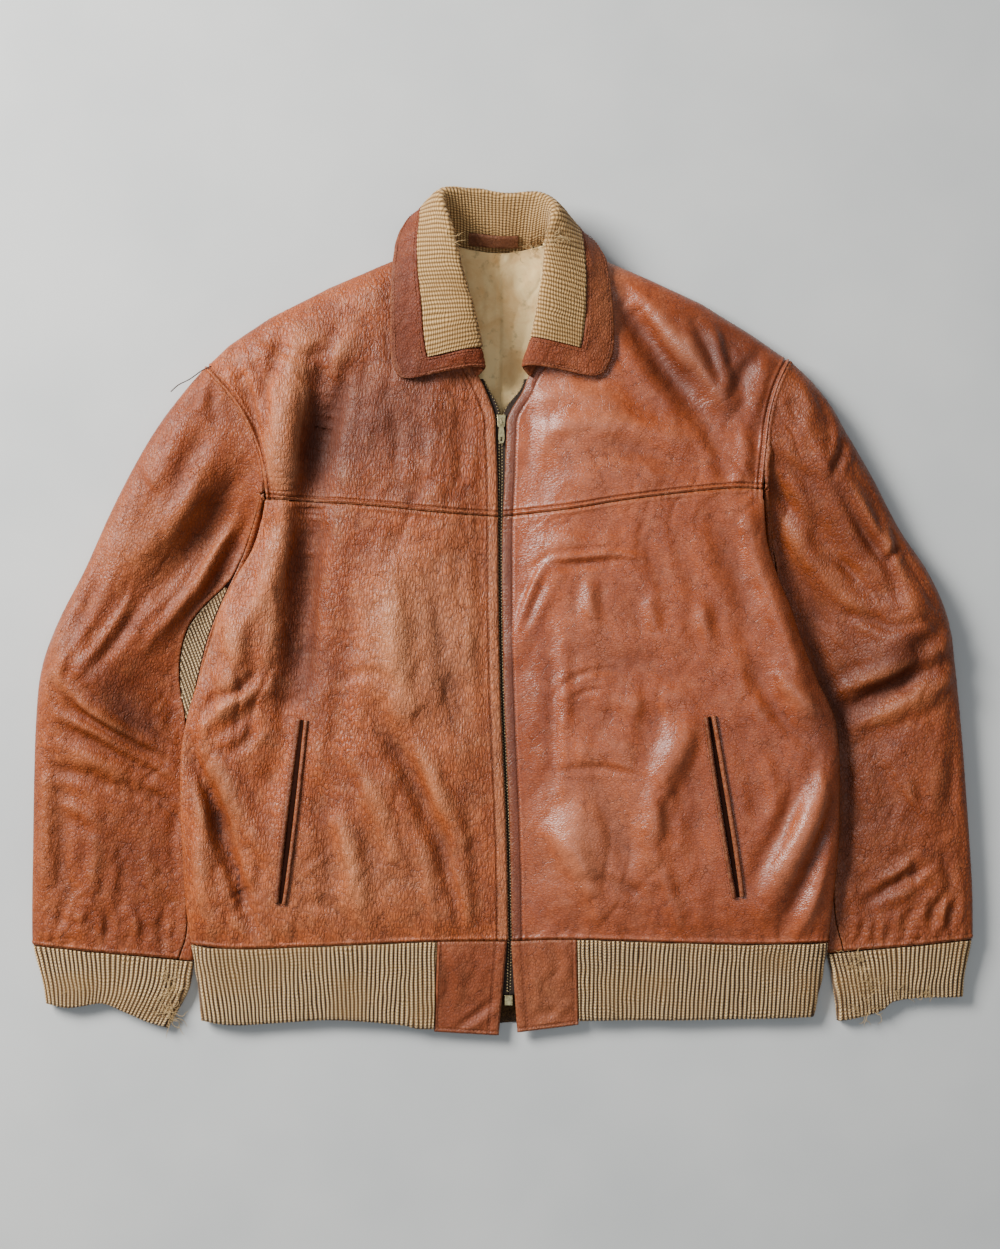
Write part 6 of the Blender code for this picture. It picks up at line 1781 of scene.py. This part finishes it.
def build_neck():
    """The collar, the lining seen in the neck and the hanger loop."""
    ends, border = COLLAR_BORDER_ENDS, COLLAR_BORDER_SHARE
    leather_side = moved(collar_ribbon, -SEAM_GAP / 2)
    knit_side = moved(collar_ribbon, SEAM_GAP / 2)
    piece = cut_piece(
        "collar_under_cloth", leather_side, 70, 16, LEATHER, LEATHER_COLLAR, outside=-1, extra=PAINTED_LIGHT_AND_SHADE)
    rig.sheet(piece, flat=(0.520, 0.105), area=0.043, held="folded",
             rests_on=["yoke_right_cloth", "yoke_left_cloth"])

    side_steps, knit_rows = 27, 60
    steps = np.concatenate([np.linspace(0, ends, side_steps + 1), np.linspace(ends, 1 - ends, 301)[1:],
                            np.linspace(1 - ends, 1, side_steps + 1)[1:]])
    rows = np.concatenate([np.linspace(0, border, knit_rows + 1), np.linspace(border, 1, 25)[1:]])

    def border_extra(flat, u, v, from_edge):
        start, end, low = from_edge["u0"], from_edge["u1"], from_edge["v0"]
        rim = np.minimum.reduce([from_edge["v1"], start, end])
        above = np.clip(low - low[knit_rows : knit_rows + 1, :], 0, None)
        at_start = np.clip(start[:, side_steps : side_steps + 1] - start, 0, None)
        at_end = np.clip(end[:, -side_steps - 1 : -side_steps] - end, 0, None)
        beside = np.minimum(at_start + 1e3 * (u > 0.5), at_end + 1e3 * (u <= 0.5))
        knit = np.hypot(above, np.where((u < ends) | (u > 1 - ends), beside, 0))
        height = -0.8 * bell(rim, 1.0) - 0.45 * bell(rim - 3.2, 0.9)
        height = height - 0.9 * bell(knit, 0.9) - 0.4 * bell(knit - 2.8, 0.9)
        run = start + low
        pucker = np.sin(run * 1.5 + 2 * noise(run / 6, 0 * run, 76))
        height = height + 0.16 * pucker * np.exp(-knit / 3)
        seam = np.maximum(bell(rim - 3.2, 1.2), bell(knit, 1.2))
        return height, {**PAINTED_LIGHT_AND_SHADE(flat, u, v, from_edge)[1], "seam": seam}

    across, along = (len(steps) - 1) // 3, (len(rows) - 1) // 3
    piece = cut_piece(
        "collar_border_cloth", knit_side, across, along, LEATHER, LEATHER_COLLAR, relief=collar_relief,
        spacing=(shares(*steps), shares(*rows)), extra=border_extra,
        keep=lambda u, v: (v > border) | (u < ends) | (u > 1 - ends))
    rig.sheet(piece, flat=(0.520, 0.095), area=0.0155, held="folded", rests_on=["collar_under_cloth"])
    on_leather = moved(collar_ribbon, SEAM_GAP / 2 + LEATHER)
    # Two rows of stitches run round the border: near the collar's rim, and near the knit.
    low_end, corner = 0.03, 0.004
    for inset_u, inset_v in ((0.0075, 0.965), (ends - 0.0065, border + 0.035)):
        t = np.concatenate([np.full(40, inset_u), np.linspace(inset_u + corner, 1 - inset_u - corner, 300),
                            np.full(40, 1 - inset_u)])
        up = np.linspace(low_end, inset_v - low_end, 40)
        s = np.concatenate([up, np.full(300, inset_v), up[::-1]])
        path = on_leather(t, s)
        above = moved(collar_ribbon, SEAM_GAP / 2 + LEATHER + 1)(t, s)
        STITCHES.append((path, above - path, FINE_PITCH))

    inner = lambda u, v: knit_side(ends + 0.0008 + (1 - 2 * ends - 0.0016) * u, (border - 0.006) * v)
    piece = cut_piece(
        "collar_knit_cloth", inner, 250, 14, COLLAR_RIB_GROUND, RIB_COLLAR, kind="rib_knit",
        extra=rib_extra(COLLAR_RIBS, 0.6, frayed=BACK_SEAM_FRAY, courses=2.2, sway_by=0.35))
    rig.sheet(piece, flat=(0.460, 0.080), area=0.033, held="folded", rests_on=["collar_under_cloth"])

    stand = moved(collar_ribbon, SEAM_GAP / 2 + KNIT + PANEL_GAP)

    def loop(u, v):
        place = stand(LOOP_FROM + (LOOP_TO - LOOP_FROM) * u, LOOP_LOW + (LOOP_HIGH - LOOP_LOW) * v)
        place[..., 2] += LOOP_ARCH * np.sin(np.pi * u)
        return place

    piece = cut_piece("hanger_loop_cloth", loop, 22, 5, LEATHER, LEATHER_LOOP,
                      edges={"v0": LOOP_RIM, "v1": LOOP_RIM}, extra=paint_light_and_shade(()))
    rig.sheet(piece, flat=(0.050, 0.011), held="stretched", rests_on=["collar_knit_cloth"])

    neck = [(x * 0.985, y + 4.3) for x, y in BACK_NECK]
    plan = four_sided(
        smooth(LINING_FOOT), smooth(neck),
        smooth([LINING_FOOT[0], neck[0]]), smooth([LINING_FOOT[1], neck[-1]]),
    )

    def lying(x, y):
        return body_under(x, y) + LINING_LIFT + LINING_RISE * ramp((y - LINING_RISE_FROM) / LINING_RISE_OVER)

    def lining_relief(x, y):
        centre = -2 + (y - 120) * 0.004
        pleat = 1.5 * bell(x - centre - 4, 5) - 1.3 * bell(x - centre + 1, 1.6)
        second = 0.8 * bell(x + 16 - (y - 200) * 0.05, 3)
        soft = 0.8 * swell(x, y, 22, 121) + 0.5 * wrinkles(x, y, 85, 40, 12, 122)
        return np.clip(pleat + second + soft + 0.6, -0.9, 3)

    piece = cut_piece(
        "back_lining_cloth", on_surface(plan, lying), 30, 40, LINING, LINING_CLOTH, relief=lining_relief,
        spacing=(None, ease_end), kind="lining")
    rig.sheet(piece, flat=(0.137, 0.195), area=0.0245, held="laid", rests_on=["back_cloth"])


# ---- pockets

# The welts' inner lips, the painted shade that each welt leather takes, and how far they gape at the widest.
LIP = 1.3
WELT_TONES = {LEATHER_TAB: 0.20, LEATHER_WELT: 0.42}
POCKET_GAPE = 1.2
POCKET_STITCHES = SLIT_HALF + WELT_WIDTH + 1.7


def top_of(piece):
    """The height of a piece's upper side, as a function of places in millimetres."""
    tree = BVHTree.FromObject(piece, bpy.context.evaluated_depsgraph_get())

    def height(x, y):
        starts = [Vector((a * MM, b * MM, 1)) for a, b in zip(x, y)]
        return np.array([tree.ray_cast(start, Vector((0, 0, -1)))[0].z / MM for start in starts])

    return height


def pocket_gape(v):
    """How far each welt stands off from the closed slit, by the share of the way down."""
    return POCKET_GAPE * np.sin(np.pi * v) ** 0.7 * (0.55 + 0.6 * v)


def welt_shape(leather, sewn_at_end):
    """The rounded fold of a welt, its painted shade, and its darker sewn side."""

    def fields(flat, u, v, from_edge):
        rounding = 1.3 - 2.2 * (1 - np.sqrt(np.clip(1 - (2 * u - 1) ** 2, 0, 1)))
        lumps = 0.18 * noise(v * 30, u * 2, 131)
        sewn_side = bell(1 - u if sewn_at_end else u, 0.16)
        return rounding + lumps, {"shade": np.clip(WELT_TONES[leather] - 0.6 * sewn_side, 0, 1)}

    return fields


def build_pocket_mouths(fronts):
    """The two welts and the facing of each slanted pocket, and the stitches round them."""
    for side, pocket in POCKETS.items():
        way = -1 if side == "right" else 1
        panel = top_of(fronts[side])
        top, bottom = np.array(pocket.top, float), np.array(pocket.bottom, float)
        length = np.linalg.norm(bottom - top)
        along = (bottom - top) / length
        out = np.array([-along[1], along[0]])
        out = out if out[0] * way > 0 else -out
        # The welt that lies in shade takes the darker leather, as painted shade.
        inner_leather, outer_leather = LEATHER_WELT, LEATHER_TAB
        if side == "left":
            inner_leather, outer_leather = outer_leather, inner_leather
        for name, start, end, gape_start, gape_end, wall, material, kind, size, area in (
            ("welt_inner", -SLIT_HALF - WELT_WIDTH, -LIP, -1, -1, WELT, inner_leather,
             "tan_leather", (5, 44), 0.00105),
            ("welt_outer", LIP, SLIT_HALF + WELT_WIDTH + 0.6, 1, 1, WELT, outer_leather,
             "tan_leather", (5, 44), 0.00105),
            ("pocket_facing", SEAM_GAP - SLIT_HALF, SLIT_HALF - SEAM_GAP, -1, 1, FACING, SHADED_CLOTH,
             "zip_tape", (2, 40), 0.00048),
        ):

            def strip(u, v):
                bow = pocket_gape(v) * (gape_start + (gape_end - gape_start) * u)
                across = start + (end - start) * u + bow
                return top + along * length * v[..., None] + out * across[..., None]

            piece = cut_piece(
                f"{name}_{side}_cloth", on_surface(strip, lambda x, y: panel(x, y) + 0.25), *size, wall,
                material, outside=-way, kind=kind,
                extra=welt_shape(material, start > 0) if material in WELT_TONES else None)
            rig.sheet(piece, flat=(0.010, length * MM), area=area, held="laid",
                     rests_on=[f"front_{side}_cloth"])
        share = evenly(60)[:, None]
        down = top + along * length * share
        beside = out * (POCKET_STITCHES + pocket_gape(share))
        bar = np.linspace(-1, 1, 12)[:, None] * POCKET_STITCHES * out
        for path, pitch in (
            (down - beside, FINE_PITCH),
            (down + beside, FINE_PITCH),
            (top - along * 1.8 + bar, BAR_PITCH),
            (bottom + along * 1.8 + bar, BAR_PITCH),
        ):
            up = np.tile([0, 0, 1.0], (len(path), 1))
            STITCHES.append((np.column_stack([path, panel(*path.T)]), up, pitch))


# ---- zip

TOOTH_PITCH = 2.6
TOOTH = (2.7, 1.25, 1.7)
# The teeth narrow towards their tops, and the slider hides those near it.
TOOTH_TAPER = 0.82
SLIDER_HIDES = 6.5


def tooth_box(centre, forward):
    """The corners and faces of one tooth."""
    forward = unit(forward)
    side = np.cross(forward, [0, 0, 1])
    up = np.cross(side, forward)
    corners = []
    for c, b, a in product((-1, 1), repeat=3):
        taper = TOOTH_TAPER if c > 0 else 1.0
        wide, long = side * a * TOOTH[0] / 2 * taper, forward * b * TOOTH[1] / 2 * taper
        corners.append(centre + wide + long + up * c * TOOTH[2] / 2)
    faces = [[0, 2, 3, 1], [4, 5, 7, 6], [0, 1, 5, 4], [2, 6, 7, 3], [0, 4, 6, 2], [1, 3, 7, 5]]
    return corners, faces


def build_zip_parts():
    """The zip's tapes and teeth."""
    lines = []
    for side, edge, out in (("right", 0, -1), ("left", 1, 1)):

        def inner_edge(y):
            edges = zip_edges(y)
            shut = (edges[0] + edges[1]) / 2 + out * TAPE_SLOT
            parted = edges[edge] - out * TAPE_SHOWS
            return shut + (parted - shut) * ramp((y - ZIP_PARTS_AT) / ZIP_OPEN_OVER)

        def tape(u, v):
            y = ZIP_BOTTOM + (ZIP_TOP - ZIP_BOTTOM) * v
            inner = inner_edge(y)
            outer = zip_edges(y)[edge] + out * TAPE_UNDER_EDGE
            return np.stack([inner + (outer - inner) * u, y, zip_level(y) - TAPE_DROP], axis=-1)

        piece = cut_piece(f"zip_tape_{side}_cloth", tape, 4, 90, TAPE, DARK_CLOTH, outside=out,
                          kind="zip_tape", spacing=(None, crowd(0.93, tightness=3, reach=0.08)))
        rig.sheet(piece, flat=(0.012, 0.525), area=0.0062, held="laid", rests_on=["back_cloth"])
        ys = np.arange(ZIP_BOTTOM + 3, ZIP_TOP - 1, TOOTH_PITCH)
        shift = 0 if side == "right" else TOOTH_PITCH / 2
        for y in ys + shift:
            if abs(y - SLIDER_AT[1]) < SLIDER_HIDES:
                continue
            here, ahead = (np.array([float(inner_edge(np.array(v))), v, float(zip_level(np.array(v)))])
                           for v in (y, y + 1))
            parted = float(ramp((y - ZIP_PARTS_AT) / ZIP_OPEN_OVER))
            here[0] += out * (0.9 - 0.6 * parted)
            here[2] += TAPE / 2 - TAPE_DROP + 0.15
            lines.append(tooth_box(here, ahead - here))
    teeth = join_lines("zip_teeth", lines, BRASS_TEETH)
    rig.slot(teeth, "aged_brass")


def finish_hardware():
    """Aged brass on the solids of the slider, the box and the pull."""
    for name in ("zip_slider", "zip_box", "zip_pull"):
        node = frame["nodes"][name]
        node.data.materials.clear()
        node.data.materials.append(BRASS)


# ---- frayed yarn and the loose thread

def build_frays():
    """Ends of yarn that have pulled out of the cuffs and of the collar's knit."""
    rng = np.random.default_rng(7)
    strands = []
    for name, spots in (("cuff_right_cloth", CUFF_YARN["right"]), ("cuff_left_cloth", CUFF_YARN["left"]),
                        ("collar_knit_cloth", NECK_YARN)):
        level = top_of(bpy.data.objects[name])
        for cx, cy, spread_x, spread_y, count, reach in spots:
            for _ in range(count):
                x, y = cx + spread_x * rng.uniform(-1, 1), cy + spread_y * rng.uniform(-1, 1)
                try:
                    z = float(level(np.array([x]), np.array([y]))[0])
                except AttributeError:
                    continue
                heading = rng.uniform(0, 2 * math.pi)
                points = [(x, y, z - 0.8)]
                for step in range(1, 6):
                    heading += rng.uniform(-1.1, 1.1)
                    x += reach * math.cos(heading) / 3.2
                    y += reach * math.sin(heading) / 3.2
                    z = max(0.9, z + rng.uniform(-0.5, 0.9) - 0.25 * (step > 2))
                    points.append((x, y, z))
                strands.append(strand(points, 0.24, sides=4))
    frayed = join_lines("frayed_yarn", strands, YARN)
    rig.slot(frayed, "rib_knit")


# The loose thread's route: x, y and height above the shoulder where it leaves the seam.
THREAD_ROUTE = [
    (-246, 209, 0.2), (-254, 205, 1.2), (-264, 198, 0.5), (-274, 193.5, -2.5), (-281, 188, -5),
]
THREAD_THICK = 1.0


def build_loose_thread():
    """The end of a seam's thread, which stands out from the right shoulder."""
    x, y, _ = THREAD_ROUTE[0]
    level = float(top_of(bpy.data.objects["yoke_right_cloth"])([x], [y])[0])
    points = [(x, y, level + rise) for x, y, rise in THREAD_ROUTE]
    line = strand(points, THREAD_THICK / 2, sides=6, tip=1.0)
    thread_end = join_lines("loose_thread", [line], LOOSE_THREAD)
    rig.slot(thread_end, "tan_leather")
    path = smooth(points)(evenly(5 * len(points)))
    length = np.linalg.norm(np.diff(path, axis=0), axis=1).sum()
    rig.cord(thread_end, exit=(path[0] * MM).tolist(), length=length * MM, diameter=THREAD_THICK * MM,
            far_end="bare", stiffness="medium", lay="loose", path=(path * MM).tolist())


# ---- stage, light and camera

# The board's top is a little below the leather, and it reaches well out of view.
FLOOR_Z, FLOOR_HALF = -0.0006, 6


def build_stage():
    """The ground that the jacket lies on."""
    mesh = bpy.data.meshes.new("floor")
    corners = [(x, y, FLOOR_Z) for x, y in ((-1, -1), (1, -1), (1, 1), (-1, 1))]
    corners = [(x * FLOOR_HALF, y * FLOOR_HALF, z) for x, y, z in corners]
    mesh.from_pydata(corners, [], [(0, 1, 2, 3)])
    mesh.materials.append(FLOOR)
    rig.stage(add_object("floor", mesh))


def add_light(name, at, size, power, colour):
    """A flat lamp that looks at the jacket's middle."""
    light = bpy.data.lights.new(name, "AREA")
    light.shape = "RECTANGLE"
    light.size, light.size_y = size
    light.energy = power
    light.color = colour
    lamp = add_object(name, light)
    lamp.location = at
    lamp.rotation_euler = (-Vector(at)).to_track_quat("-Z", "Y").to_euler()


CAMERA_AT = (-0.0021, -0.0094)
CAMERA_HEIGHT, CLOTH_LEVEL, FRAME_HEIGHT = 1.75, 0.012, 1.0617


def light_and_camera():
    """Window light from the upper left, soft light from above, and a camera straight overhead."""
    add_light("window", (-1.5, 1.0, 1.3), (1.05, 0.8), 118, (1.0, 0.985, 0.96))
    add_light("sky", (0.25, -0.2, 2.6), (1.4, 1.4), 15, (0.86, 0.93, 1.0))
    world = bpy.data.worlds.new("studio")
    bpy.context.scene.world = world
    world.use_nodes = True
    background = world.node_tree.nodes["Background"]
    background.inputs["Color"].default_value = (0.86, 0.88, 0.90, 1)
    background.inputs["Strength"].default_value = 0.24
    camera = bpy.data.cameras.new("camera")
    camera.sensor_width = 36
    camera.lens = CAMERA_HEIGHT * 36 / FRAME_HEIGHT
    holder = add_object("camera", camera)
    holder.location = (*CAMERA_AT, CAMERA_HEIGHT + CLOTH_LEVEL)
    bpy.context.scene.camera = holder


front_pieces = build_fronts()
build_arms()
build_hem()
build_neck()
build_pocket_mouths(front_pieces)
build_zip_parts()
finish_hardware()
stitches = join_lines("stitches", list(starmap(sew_line, STITCHES)), THREAD)
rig.slot(stitches, "tan_leather")
build_frays()
build_loose_thread()
build_stage()
light_and_camera()
size_of_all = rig.bounds()
with open("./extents.json", "w") as sizes:
    json.dump({"solids": [list(corner) for corner in size_of_solids],
               "all": [list(corner) for corner in size_of_all]}, sizes)
